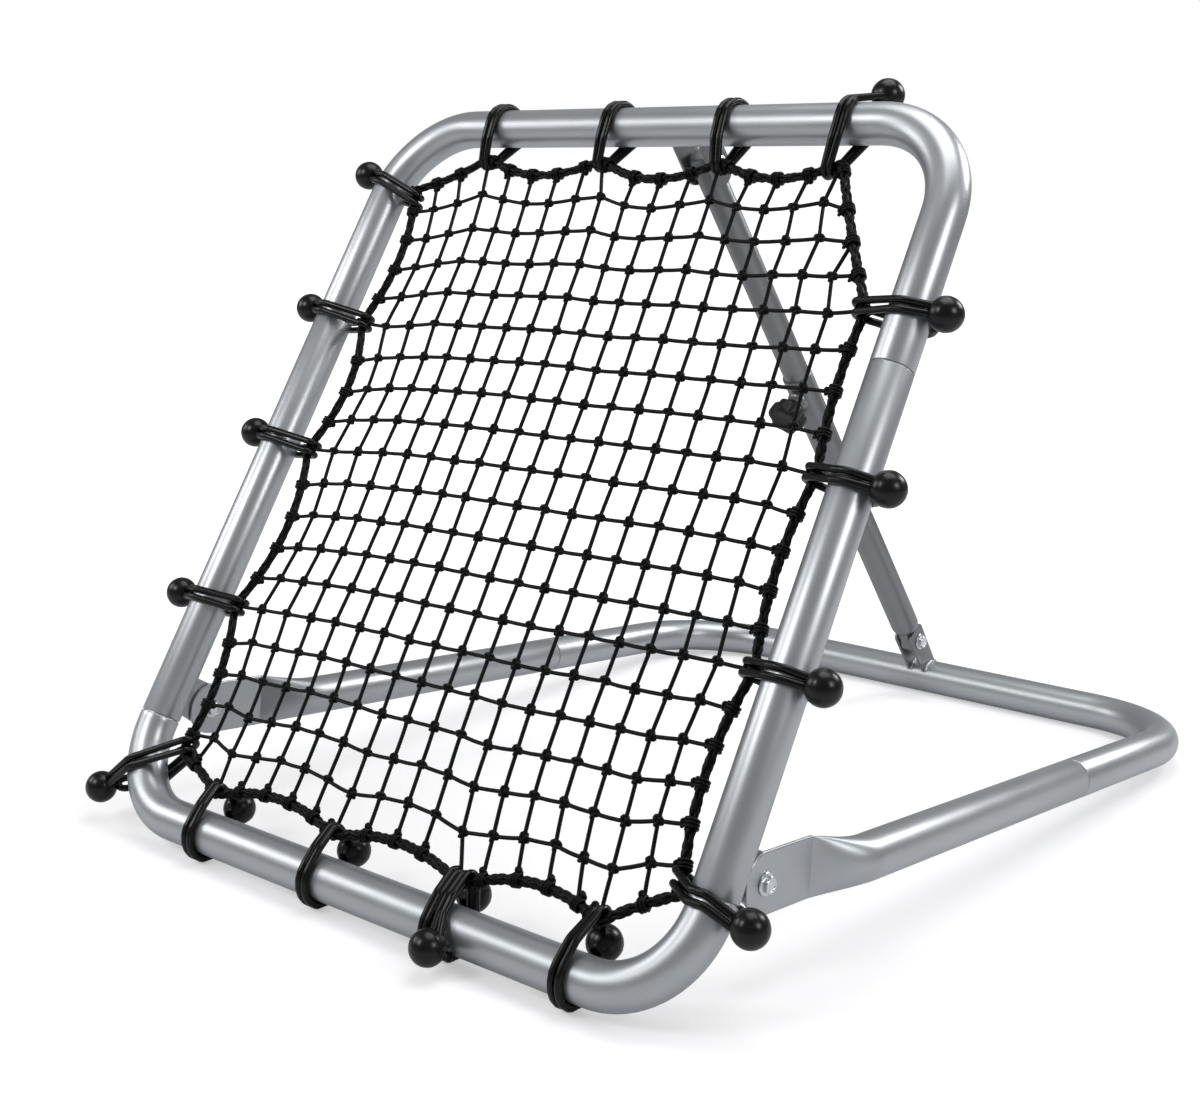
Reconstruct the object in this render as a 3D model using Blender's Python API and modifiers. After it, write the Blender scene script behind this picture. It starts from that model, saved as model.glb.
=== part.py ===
"""Baseball rebounder: a leaning tube frame that holds a square cord net on ball bungees, hinged to a
folding U base and propped from behind by a telescopic strut with a clamp knob.

X is the width, -Y the side that the ball is thrown at, +Z up. The rear crossbar and the bungee cords
under the bottom tube rest on Z = 0."""

import math

import bmesh
import bpy
from mathutils import Matrix, Vector

# Gaps
CLEAR = 0.0003
WELD_CLEAR = 0.0007
SLIDE_CLEAR = 0.0005

# Frame and base tubes
TUBE_RADIUS = 0.019
TUBE_WALL = 0.0015
TUBE_SIDES = 12
SMALL_SIDES = 12
BEND_STEPS = 6

# Net frame: sizes between tube axes, length along the slope
FRAME_WIDTH = 0.670
FRAME_LENGTH = 0.752
FRAME_LEAN = math.radians(32.0)
FRAME_BEND = 0.090
FOOT_BEND = 0.080
UPPER_SEAM = 0.520
LOWER_SEAM = 0.085

# Base: depth from the bottom tube's axis to the rear crossbar's axis
BASE_DEPTH = 0.882
BASE_SHIFT = 0.020
BASE_BEND = 0.118
BASE_SEAM = 0.300

# Hinges between base and frame
PIVOT_DEPTH = 0.102
PIVOT_HEIGHT = 0.092
HINGE_PLATE = 0.004
HINGE_RIM = 0.021
HINGE_WELD_BELOW = 0.017
HINGE_WELD_ABOVE = 0.021
ARM_FLAT = 0.0034
ARM_FLAT_HEIGHT = 0.050
ARM_FLAT_LENGTH = 0.061
ARM_PRESS_LENGTH = 0.057

# Strut: foot pivot off the rear crossbar's axis, head pivot off the top tube's axis, lengths from the foot
FOOT_BEFORE_BAR = 0.029
FOOT_ABOVE_BAR = 0.049
HEAD_BEHIND_TUBE = 0.0453
HEAD_BELOW_TUBE = 0.036
STRUT_RADIUS = 0.016
STRUT_WALL = 0.0015
STRUT_START = 0.022
STRUT_END = 0.420
INNER_WALL = 0.0015
INNER_START = 0.185
INNER_HEAD = 0.014
OPEN_PIVOT_RADIUS = 0.008

# Strut brackets
EAR = 0.003
FOOT_EAR_GAP = 0.016
FOOT_EAR_HALF = 0.014
FOOT_EAR_TOP = 0.019
FOOT_EAR_CORNER = 0.004
TANG_HALF = 0.013
HEAD_EAR_HALF = 0.015
HEAD_EAR_DROP = 0.006
WEB_WIDTH = 0.014

# Fasteners
BOLT_RADIUS = 0.004
BOLT_FLAT = 0.0065
BOLT_HEAD = 0.0055
FLANGE_RADIUS = 0.0085
FLANGE = 0.0016
BOLT_TAIL = 0.003

# Clamp knob
KNOB_ALONG = 0.395
KNOB_RADIUS = 0.020
KNOB_DEPTH = 0.024
KNOB_LOBES = 6
KNOB_DIMPLE = 0.0026
BOSS_RADIUS = 0.010
BOSS_LENGTH = 0.007
STUD_IN_KNOB = 0.012

# Net and border rope
ROPE_RADIUS = 0.0045
NET_CORD = 0.0028
NET_TIE_GAP = 0.0012

# Bungees
CORD_RADIUS = 0.0025
BALL_RADIUS = 0.015
TIGHT_BALL = 0.0355
TAUT_BALL = 0.0375
EASY_BALL = 0.041
LOOSE_BALL = 0.046
CORNER_BALL = 0.054
SIDE_ANGLE = math.radians(8.0)
TOP_ANGLE = math.radians(-60.0)
TOP_CORNER_ANGLE = math.radians(-24.0)
UNDER_ANGLE = math.radians(-132.0)
FRONT_ANGLE = math.radians(58.0)
STRAND_AT_BALL = 0.0036
STRAND_AT_ROPE = 0.0098
TUBE_WRAP_STEP = math.radians(32.0)
ROPE_WRAP_STEP = math.radians(52.0)
FLOOR_CUT = 0.0005

# Worked out from the above
TUBE_CORNER = TUBE_RADIUS / math.cos(math.pi / TUBE_SIDES)
INNER_RADIUS = STRUT_RADIUS - STRUT_WALL - SLIDE_CLEAR
BOSS_SEAT = STRUT_RADIUS - STRUT_WALL / 2.0
BOLT_CORNER = BOLT_FLAT / math.cos(math.pi / 6.0)
TUBE_WRAP = TUBE_CORNER + CLEAR + CORD_RADIUS
ROPE_WRAP = ROPE_RADIUS + CLEAR + CORD_RADIUS
BOTTOM_HEIGHT = TUBE_WRAP + CORD_RADIUS - FLOOR_CUT
BOLT_HOLE = BOLT_RADIUS + CLEAR
HALF_WIDTH = FRAME_WIDTH / 2.0

# The frame's own directions: along the slope and out of its front
SLOPE = Vector((0.0, math.sin(FRAME_LEAN), math.cos(FRAME_LEAN)))
FRONT = Vector((0.0, -math.cos(FRAME_LEAN), math.sin(FRAME_LEAN)))


def front_reach():
    """Depth of the foremost point, the ball that hangs in front of the bottom tube."""
    ball = -SLOPE * math.cos(FRONT_ANGLE) + FRONT * math.sin(FRONT_ANGLE)
    return ball.y * TAUT_BALL - BALL_RADIUS


ORIGIN_DEPTH = (BASE_DEPTH + TUBE_RADIUS + front_reach()) / 2.0


def world(x, depth, height):
    """Point from width, depth behind the bottom tube's axis and height."""
    return Vector((x, depth - ORIGIN_DEPTH, height))


def on_frame(u, v, n=0.0):
    """Point of the net frame: u across, v up the slope from the bottom tube, n out of the front."""
    return world(u, 0.0, BOTTOM_HEIGHT) + SLOPE * v + FRONT * n


# Materials


def make_material(name, colour, roughness, metallic):
    material = bpy.data.materials.new(name)
    material.use_nodes = True
    shader = material.node_tree.nodes["Principled BSDF"]
    shader.inputs["Base Color"].default_value = (*colour, 1.0)
    shader.inputs["Roughness"].default_value = roughness
    shader.inputs["Metallic"].default_value = metallic
    return material


def make_materials():
    return {
        "frame_paint": make_material("frame_paint", (0.50, 0.51, 0.53), 0.32, 0.6),
        "strut_paint": make_material("strut_paint", (0.27, 0.27, 0.27), 0.38, 0.5),
        "zinc": make_material("zinc", (0.62, 0.64, 0.66), 0.22, 1.0),
        "ball_plastic": make_material("ball_plastic", (0.012, 0.012, 0.012), 0.12, 0.0),
        "knob_plastic": make_material("knob_plastic", (0.018, 0.018, 0.018), 0.40, 0.0),
        "elastic_cord": make_material("elastic_cord", (0.015, 0.015, 0.015), 0.60, 0.0),
        "net_cord": make_material("net_cord", (0.013, 0.013, 0.013), 0.75, 0.0),
    }


# Meshes and objects


def add_object(name, data, material, collection):
    shape = bpy.data.objects.new(name, data)
    collection.objects.link(shape)
    if data.materials:
        data.materials[0] = material
    else:
        data.materials.append(material)
    return shape


def shade(mesh):
    mesh.shade_smooth()
    mesh.set_sharp_from_angle(angle=math.radians(40.0))


def mesh_from(bm, name):
    bmesh.ops.recalc_face_normals(bm, faces=bm.faces)
    mesh = bpy.data.meshes.new(name)
    bm.to_mesh(mesh)
    bm.free()
    shade(mesh)
    return mesh


def axis_matrix(centre, direction, side=None):
    """Placement with local Z along direction and local X along side where it is given."""
    z_axis = direction.normalized()
    x_axis = side if side else z_axis.orthogonal()
    x_axis = (x_axis - z_axis * x_axis.dot(z_axis)).normalized()
    y_axis = z_axis.cross(x_axis)
    turn = Matrix((x_axis, y_axis, z_axis)).transposed().to_4x4()
    return Matrix.Translation(centre) @ turn


def turned(bm, start, end, radius, sides, side=None):
    """Adds a closed cylinder between two points, a flat facing the direction called side."""
    middle = (start + end) / 2.0
    place = axis_matrix(middle, end - start, side)
    place = place @ Matrix.Rotation(math.pi / sides, 4, "Z")
    bmesh.ops.create_cone(
        bm,
        cap_ends=True,
        segments=sides,
        radius1=radius,
        radius2=radius,
        depth=(end - start).length,
        matrix=place,
    )


def cylinder_mesh(name, start, end, radius, sides, side=None):
    bm = bmesh.new()
    turned(bm, start, end, radius, sides, side)
    return mesh_from(bm, name)


def add_boolean(shape, cutter, operation):
    modifier = shape.modifiers.new(operation.lower(), "BOOLEAN")
    modifier.operation = operation
    modifier.solver = "EXACT"
    modifier.object = cutter


def add_cutter(name, mesh, cutters):
    cutter = bpy.data.objects.new(name, mesh)
    cutter.hide_render = True
    cutter.display_type = "WIRE"
    cutters.objects.link(cutter)
    return cutter


def frozen(shape, name):
    """Mesh of an object as its modifiers leave it; the object goes."""
    depsgraph = bpy.context.evaluated_depsgraph_get()
    mesh = bpy.data.meshes.new_from_object(shape.evaluated_get(depsgraph))
    mesh.transform(shape.matrix_world)
    mesh.name = name
    bpy.data.objects.remove(shape)
    return mesh


def united(name, meshes, cutters):
    """One closed mesh from overlapping ones."""
    scratch = bpy.data.objects.new(name, meshes[0])
    bpy.context.scene.collection.objects.link(scratch)
    for number, mesh in enumerate(meshes[1:]):
        add_boolean(scratch, add_cutter(f"{name}_add_{number}", mesh, cutters), "UNION")
    return frozen(scratch, name)


# Curves


def poly_curve(name, points, radius, resolution, cyclic=False, caps=True, tilt=0.0):
    curve = bpy.data.curves.new(name, "CURVE")
    curve.dimensions = "3D"
    curve.twist_mode = "MINIMUM"
    curve.bevel_depth = radius
    curve.bevel_resolution = resolution
    curve.use_fill_caps = caps
    spline = curve.splines.new("POLY")
    spline.points.add(len(points) - 1)
    for knot, point in zip(spline.points, points):
        knot.co = (*point, 1.0)
        knot.tilt = tilt
    spline.use_cyclic_u = cyclic
    return curve


def curve_mesh(name, curve):
    """Welded mesh of a curve; the curve goes."""
    scratch = bpy.data.objects.new(name, curve)
    bpy.context.scene.collection.objects.link(scratch)
    bpy.context.view_layer.update()
    mesh = frozen(scratch, name)
    bm = bmesh.new()
    bm.from_mesh(mesh)
    bmesh.ops.remove_doubles(bm, verts=bm.verts, dist=0.00001)
    bpy.data.meshes.remove(mesh)
    return mesh_from(bm, name)


def arc(centre, first, second, angle, steps):
    """Points on an arc from centre + first, turning towards second."""
    return [
        centre + first * math.cos(angle * k / steps) + second * math.sin(angle * k / steps)
        for k in range(steps + 1)
    ]


def bent_u(start, corner_a, corner_b, end, bend):
    """Path through two square corners, each rounded to the bend radius."""
    run_in = (corner_a - start).normalized()
    across = (corner_b - corner_a).normalized()
    run_out = (end - corner_b).normalized()
    first = corner_a - run_in * bend + across * bend
    second = corner_b - across * bend + run_out * bend
    quarter = math.pi / 2.0
    return (
        [start]
        + arc(first, -across * bend, run_in * bend, quarter, BEND_STEPS)
        + arc(second, -run_out * bend, across * bend, quarter, BEND_STEPS)
        + [end]
    )


def pipe(name, points, material, collection, tilt):
    """Open tube surface with its wall inwards."""
    resolution = (TUBE_SIDES - 4) // 2
    curve = poly_curve(name, points, TUBE_CORNER, resolution, caps=False, tilt=tilt)
    shape = add_object(name, curve_mesh(name, curve), material, collection)
    wall = shape.modifiers.new("wall", "SOLIDIFY")
    wall.thickness = TUBE_WALL
    wall.offset = -1.0
    wall.use_even_offset = True
    return shape


# Net frame


def make_frame_tubes(paint, collection):
    turn = math.pi / TUBE_SIDES
    top = bent_u(
        on_frame(-HALF_WIDTH, UPPER_SEAM),
        on_frame(-HALF_WIDTH, FRAME_LENGTH),
        on_frame(HALF_WIDTH, FRAME_LENGTH),
        on_frame(HALF_WIDTH, UPPER_SEAM),
        FRAME_BEND,
    )
    bottom = bent_u(
        on_frame(-HALF_WIDTH, LOWER_SEAM),
        on_frame(-HALF_WIDTH, 0.0),
        on_frame(HALF_WIDTH, 0.0),
        on_frame(HALF_WIDTH, LOWER_SEAM),
        FOOT_BEND,
    )
    pipe("top_tube", top, paint, collection, turn)
    pipe("bottom_tube", bottom, paint, collection, turn)
    for name, x in (("left_side_tube", -HALF_WIDTH), ("right_side_tube", HALF_WIDTH)):
        ends = [on_frame(x, LOWER_SEAM + CLEAR), on_frame(x, UPPER_SEAM - CLEAR)]
        pipe(name, ends, paint, collection, turn)


def make_hinge_plates(paint, collection):
    """Plates welded behind the side tubes, rounded about the pivots."""
    pivot = pivot_on_frame()
    weld = -(TUBE_CORNER + CLEAR)
    low = Vector((pivot.x - HINGE_WELD_BELOW, weld))
    high = Vector((pivot.x + HINGE_WELD_ABOVE, weld))
    outline = [low, high]
    outline += rim_between(pivot, HINGE_RIM, high, low, 10)
    for name, x in (("left_hinge_plate", -HALF_WIDTH), ("right_hinge_plate", HALF_WIDTH)):
        place = frame_plane(x)
        plate(name, outline, [(pivot, BOLT_HOLE)], HINGE_PLATE, place, paint, collection)


def rim_between(centre, radius, start, end, steps):
    """Points round a circle from the tangent point seen from start to the one seen from end."""
    to_start = start - centre
    to_end = end - centre
    first = math.atan2(to_start.y, to_start.x) - math.acos(radius / to_start.length)
    last = math.atan2(to_end.y, to_end.x) + math.acos(radius / to_end.length)
    while last > first:
        last -= 2.0 * math.pi
    return [
        centre + polar(radius, first + (last - first) * k / steps)
        for k in range(steps + 1)
    ]


def polar(radius, angle):
    return Vector((radius * math.cos(angle), radius * math.sin(angle)))


def frame_plane(x):
    """Placement of a plate in a plane square to X: its own X runs up the slope, its Y out of the front."""
    turn = Matrix((SLOPE, FRONT, Vector((1.0, 0.0, 0.0)))).transposed().to_4x4()
    return Matrix.Translation(on_frame(x, 0.0)) @ turn


def pivot_on_frame():
    """The hinge pivot in the plates' own plane."""
    offset = world(0.0, PIVOT_DEPTH, PIVOT_HEIGHT) - on_frame(0.0, 0.0)
    return Vector((offset.dot(SLOPE), offset.dot(FRONT)))


def plate(name, outline, holes, thickness, place, material, collection):
    """Flat plate from an outline and round holes."""
    curve = bpy.data.curves.new(name, "CURVE")
    curve.dimensions = "2D"
    curve.fill_mode = "BOTH"
    curve.extrude = thickness / 2.0
    loops = [outline]
    for centre, radius in holes:
        turn = 2.0 * math.pi / SMALL_SIDES
        loops.append([centre + polar(radius, turn * k) for k in range(SMALL_SIDES)])
    for loop in loops:
        spline = curve.splines.new("POLY")
        spline.points.add(len(loop) - 1)
        for knot, point in zip(spline.points, loop):
            knot.co = (point.x, point.y, 0.0, 1.0)
        spline.use_cyclic_u = True
    shape = add_object(name, curve_mesh(name, curve), material, collection)
    shape.matrix_world = place
    return shape


# Base


def base_slope():
    """Direction from the rear crossbar's axis up to the hinge pivots, and its square."""
    run = BASE_DEPTH - PIVOT_DEPTH
    rise = PIVOT_HEIGHT - TUBE_RADIUS
    forward = Vector((0.0, -run, rise)).normalized()
    upward = Vector((0.0, rise, run)).normalized()
    return forward, upward, math.hypot(run, rise)


def make_rear_tube(paint, collection):
    forward, upward, _ = base_slope()
    corner_a = world(BASE_SHIFT - HALF_WIDTH, BASE_DEPTH, TUBE_RADIUS)
    corner_b = world(BASE_SHIFT + HALF_WIDTH, BASE_DEPTH, TUBE_RADIUS)
    reach = forward * BASE_SEAM
    path = bent_u(corner_a + reach, corner_a, corner_b, corner_b + reach, BASE_BEND)
    lean = math.atan2(upward.y, upward.z)
    pipe("rear_tube", path, paint, collection, math.pi / TUBE_SIDES + lean)


def pressed_section(place, half_width, half_height, roundness, shift):
    """Ring of a tube that is part pressed flat: roundness 0 is a flat blade, 1 the round tube."""
    ring = []
    widest = math.sin(math.pi / 2.0 - math.pi / TUBE_SIDES)
    for k in range(TUBE_SIDES):
        angle = math.pi / TUBE_SIDES * (2 * k + 1)
        blade_x = math.copysign(half_width, math.cos(angle))
        blade_z = half_height * math.sin(angle) / widest
        round_x = TUBE_CORNER * math.cos(angle)
        round_z = TUBE_CORNER * math.sin(angle)
        x = blade_x + (round_x - blade_x) * roundness
        z = blade_z + (round_z - blade_z) * roundness
        ring.append(place @ Vector((x + shift, 0.0, z)))
    return ring


def loft(name, rings):
    """Closed body through rings of as many points each."""
    bm = bmesh.new()
    rows = [[bm.verts.new(point) for point in ring] for ring in rings]
    count = len(rows[0])
    for row, following in zip(rows, rows[1:]):
        for k in range(count):
            step = (k + 1) % count
            bm.faces.new((row[k], row[step], following[step], following[k]))
    bm.faces.new(rows[0])
    bm.faces.new(reversed(rows[-1]))
    return mesh_from(bm, name)


def make_arm(name, x, paint, collection, cutters):
    """Base arm: a round tube whose front end is pressed flat and rounded about the pivot."""
    forward, upward, length = base_slope()
    across = Vector((1.0, 0.0, 0.0))
    turn = Matrix((across, -forward, upward)).transposed().to_4x4()
    pivot = world(x, PIVOT_DEPTH, PIVOT_HEIGHT)
    flat_x = HINGE_PLATE / 2.0 + CLEAR + ARM_FLAT / 2.0
    nose = ARM_FLAT_HEIGHT / 2.0
    rings = []

    def add_ring(along, half_height, roundness, shift):
        place = Matrix.Translation(pivot - forward * along) @ turn
        rings.append(pressed_section(place, ARM_FLAT / 2.0, half_height, roundness, shift))

    for degrees in (78.0, 55.0, 30.0, 0.0):
        angle = math.radians(degrees)
        add_ring(-nose * math.sin(angle), nose * math.cos(angle), 0.0, flat_x)
    press_steps = 5
    for k in range(press_steps + 1):
        share = k / press_steps
        roundness = math.sin(math.pi / 2.0 * share)
        along = ARM_FLAT_LENGTH + ARM_PRESS_LENGTH * share
        add_ring(along, nose, roundness, flat_x + (BASE_SHIFT - flat_x) * roundness)
    seam = length - BASE_SEAM - CLEAR
    add_ring(seam, nose, 1.0, BASE_SHIFT)
    shape = add_object(name, loft(name, rings), paint, collection)
    axis = pivot + across * BASE_SHIFT
    bore_start = axis - forward * (ARM_FLAT_LENGTH + ARM_PRESS_LENGTH)
    bore_end = axis - forward * (seam + TUBE_WALL)
    bore = cylinder_mesh(
        name + "_bore", bore_start, bore_end, TUBE_CORNER - TUBE_WALL, TUBE_SIDES, across
    )
    add_boolean(shape, add_cutter(name + "_bore", bore, cutters), "DIFFERENCE")
    reach = across * (2.0 * flat_x)
    hole = cylinder_mesh(name + "_hole", pivot, pivot + reach, BOLT_HOLE, TUBE_SIDES)
    add_boolean(shape, add_cutter(name + "_hole", hole, cutters), "DIFFERENCE")


# Fasteners


def bolt_mesh(name, grip, cutters):
    """Flanged hex bolt along X: the head's seat at X = 0, the shank running towards -X."""
    across = Vector((1.0, 0.0, 0.0))
    tip = -across * (grip + BOLT_TAIL)
    sink = across * FLANGE
    shank = cylinder_mesh(name, tip, sink / 2.0, BOLT_RADIUS, SMALL_SIDES)
    flange = cylinder_mesh(name + "_flange", Vector(), sink, FLANGE_RADIUS, SMALL_SIDES)
    hexagon = cylinder_mesh(
        name + "_hex", sink / 2.0, across * BOLT_HEAD, BOLT_CORNER, 6
    )
    return united(name, [shank, flange, hexagon], cutters)


def nut_mesh(name, cutters):
    """Flanged nut along X: its seat at X = 0, the rest towards -X."""
    across = Vector((1.0, 0.0, 0.0))
    flange = cylinder_mesh(name, Vector(), -across * FLANGE, FLANGE_RADIUS, SMALL_SIDES)
    hexagon = cylinder_mesh(
        name + "_hex", -across * FLANGE / 2.0, -across * BOLT_HEAD, BOLT_CORNER, 6
    )
    body = united(name, [flange, hexagon], cutters)
    reach = across * 2.0 * BOLT_HEAD
    hole = cylinder_mesh(name + "_hole", reach, -reach, BOLT_HOLE, SMALL_SIDES)
    scratch = bpy.data.objects.new(name, body)
    bpy.context.scene.collection.objects.link(scratch)
    add_boolean(scratch, add_cutter(name + "_hole", hole, cutters), "DIFFERENCE")
    return frozen(scratch, name)


def make_hinge_fasteners(zinc, collection, cutters):
    seat = HINGE_PLATE / 2.0 + CLEAR + ARM_FLAT + CLEAR
    back = -HINGE_PLATE / 2.0 - CLEAR
    bolt = bolt_mesh("hinge_bolt", seat - back + BOLT_HEAD, cutters)
    nut = nut_mesh("hinge_nut", cutters)
    for side, x in (("left", -HALF_WIDTH), ("right", HALF_WIDTH)):
        for kind, mesh, offset in (("bolt", bolt, seat), ("nut", nut, back)):
            shape = add_object(f"{side}_hinge_{kind}", mesh, zinc, collection)
            shape.location = world(x + offset, PIVOT_DEPTH, PIVOT_HEIGHT)


def make_bracket_fasteners(prefix, pivot, half, zinc, collection, cutters):
    """Bolt through a pair of ears with its nut on the far side."""
    seat = half + CLEAR
    bolt = bolt_mesh(prefix + "_bolt", 2.0 * seat + BOLT_HEAD, cutters)
    shape = add_object(prefix + "_bolt", bolt, zinc, collection)
    shape.location = pivot + Vector((seat, 0.0, 0.0))
    nut = nut_mesh(prefix + "_nut", cutters)
    shape = add_object(prefix + "_nut", nut, zinc, collection)
    shape.location = pivot - Vector((seat, 0.0, 0.0))


# Strut


def strut_frame():
    """Foot pivot, head pivot, direction up the strut and its square to the rear."""
    foot = world(BASE_SHIFT, BASE_DEPTH - FOOT_BEFORE_BAR, TUBE_RADIUS + FOOT_ABOVE_BAR)
    head = on_frame(BASE_SHIFT, FRAME_LENGTH) + Vector((0.0, HEAD_BEHIND_TUBE, -HEAD_BELOW_TUBE))
    rise = (head - foot).normalized()
    back = Vector((0.0, rise.z, -rise.y))
    return foot, head, rise, back


def bracket_plane(pivot, rise, back, x):
    """Placement of an ear: its own X runs to the rear, its Y up the strut, from the pivot."""
    turn = Matrix((back, rise, back.cross(rise))).transposed().to_4x4()
    return Matrix.Translation(pivot + Vector((x, 0.0, 0.0))) @ turn


def weld_edge(axis, start, end, steps):
    """Edge that follows the tube's surface between two distances to the rear."""
    radius = TUBE_CORNER + WELD_CLEAR
    side = -1.0 if axis.y > 0.0 else 1.0
    points = []
    for k in range(steps + 1):
        x = start + (end - start) * k / steps
        points.append(Vector((x, axis.y + side * math.sqrt(radius**2 - (x - axis.x) ** 2))))
    return points


def box_mesh(name, place, size):
    bm = bmesh.new()
    bmesh.ops.create_cube(bm, size=1.0, matrix=place @ Matrix.Diagonal((*size, 1.0)))
    return mesh_from(bm, name)


def bracket(name, outline, tube, pivot, gap, material, collection, cutters):
    """Bracket of two ears about the strut, joined by a web that lies on the tube."""
    _, _, rise, back = strut_frame()
    holes = [(Vector((0.0, 0.0)), BOLT_HOLE)]
    meshes = []
    for side in (-1.0, 1.0):
        place = bracket_plane(pivot, rise, back, side * (gap + EAR) / 2.0)
        ear = plate(name, outline, holes, EAR, place, material, collection)
        mesh = ear.data
        mesh.transform(place)
        bpy.data.objects.remove(ear)
        meshes.append(mesh)
    toward = math.copysign(1.0, tube.y)
    seat = tube.y - toward * (TUBE_CORNER + CLEAR + EAR / 2.0)
    front = min(point.x for point in outline)
    width = 2.0 * (tube.x - front) if tube.x - front > EAR else WEB_WIDTH
    middle = Vector((front + width / 2.0, seat, 0.0))
    place = bracket_plane(pivot, rise, back, 0.0) @ Matrix.Translation(middle)
    meshes.append(box_mesh(name + "_web", place, (width, EAR, gap + EAR)))
    add_object(name, united(name, meshes, cutters), material, collection)


def in_bracket(pivot, point):
    _, _, rise, back = strut_frame()
    offset = point - pivot
    return Vector((offset.dot(back), offset.dot(rise)))


def make_foot_bracket(paint, collection, cutters):
    foot, _, _, _ = strut_frame()
    crossbar = in_bracket(foot, world(BASE_SHIFT, BASE_DEPTH, TUBE_RADIUS))
    half = FOOT_EAR_HALF
    corner = FOOT_EAR_CORNER
    rear_weld = min(half, crossbar.x + TUBE_CORNER - corner / 2.0)
    outline = weld_edge(crossbar, -half, rear_weld, 5)
    outline += [
        Vector((half, 0.0)),
        Vector((half, FOOT_EAR_TOP - corner)),
        Vector((half - corner, FOOT_EAR_TOP)),
        Vector((corner - half, FOOT_EAR_TOP)),
        Vector((-half, FOOT_EAR_TOP - corner)),
    ]
    bracket("foot_bracket", outline, crossbar, foot, FOOT_EAR_GAP, paint, collection, cutters)


def make_head_bracket(paint, collection, cutters):
    _, head, _, _ = strut_frame()
    tube = in_bracket(head, on_frame(BASE_SHIFT, FRAME_LENGTH))
    half = HEAD_EAR_HALF
    front_weld = max(-half, tube.x - TUBE_RADIUS)
    outline = weld_edge(tube, front_weld, tube.x + TUBE_RADIUS, 5)
    outline.append(Vector((half, tube.y / 2.0)))
    steps = 8
    low = Vector((0.0, -HEAD_EAR_DROP))
    outline += [low + polar(half, -math.pi * k / steps) for k in range(steps + 1)]
    gap = 2.0 * (INNER_RADIUS + CLEAR)
    bracket("head_bracket", outline, tube, head, gap, paint, collection, cutters)


def make_strut(paint, collection, cutters):
    foot, head, rise, back = strut_frame()
    across = Vector((1.0, 0.0, 0.0))
    length = (head - foot).length
    knob = foot + rise * KNOB_ALONG

    body = cylinder_mesh(
        "strut_body", foot + rise * STRUT_START, foot + rise * STRUT_END, STRUT_RADIUS, SMALL_SIDES, across
    )
    tang_half = FOOT_EAR_GAP / 2.0 - CLEAR
    eye = cylinder_mesh(
        "strut_eye", foot - across * tang_half, foot + across * tang_half, TANG_HALF, SMALL_SIDES, rise
    )
    stem_length = STRUT_START + STRUT_RADIUS
    stem = axis_matrix(foot + rise * stem_length / 2.0, rise, across)
    blade = box_mesh("strut_blade", stem, (2.0 * tang_half, 2.0 * TANG_HALF, stem_length))
    boss_start = knob - back * BOSS_SEAT
    boss = cylinder_mesh("knob_boss", boss_start, boss_start - back * BOSS_LENGTH, BOSS_RADIUS, SMALL_SIDES)
    body = united("strut_outer_tube", [body, eye, blade, boss], cutters)
    outer = add_object("strut_outer_tube", body, paint, collection)
    floor = STRUT_START + STRUT_RADIUS + STRUT_WALL
    bore = cylinder_mesh(
        "strut_bore",
        foot + rise * floor,
        foot + rise * (STRUT_END + STRUT_WALL),
        STRUT_RADIUS - STRUT_WALL,
        SMALL_SIDES,
        across,
    )
    add_boolean(outer, add_cutter("strut_bore", bore, cutters), "DIFFERENCE")
    pin = cylinder_mesh(
        "strut_pin_hole", foot - across * STRUT_RADIUS, foot + across * STRUT_RADIUS, BOLT_HOLE, SMALL_SIDES
    )
    add_boolean(outer, add_cutter("strut_pin_hole", pin, cutters), "DIFFERENCE")
    tap = cylinder_mesh("stud_hole", knob, knob - back * 3.0 * STRUT_RADIUS, BOLT_HOLE, SMALL_SIDES)
    add_boolean(outer, add_cutter("stud_hole", tap, cutters), "DIFFERENCE")

    start = foot + rise * INNER_START
    end = foot + rise * (length + INNER_HEAD)
    inner = add_object(
        "strut_inner_tube",
        cylinder_mesh("strut_inner_tube", start, end, INNER_RADIUS, SMALL_SIDES, across),
        paint,
        collection,
    )
    reach = rise * INNER_WALL
    bore = cylinder_mesh(
        "inner_bore", start - reach, end + reach, INNER_RADIUS - INNER_WALL, SMALL_SIDES, across
    )
    add_boolean(inner, add_cutter("inner_bore", bore, cutters), "DIFFERENCE")
    reach = across * STRUT_RADIUS
    slot = cylinder_mesh("open_pivot", head - reach, head + reach, OPEN_PIVOT_RADIUS, SMALL_SIDES)
    add_boolean(inner, add_cutter("open_pivot", slot, cutters), "DIFFERENCE")


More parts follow.
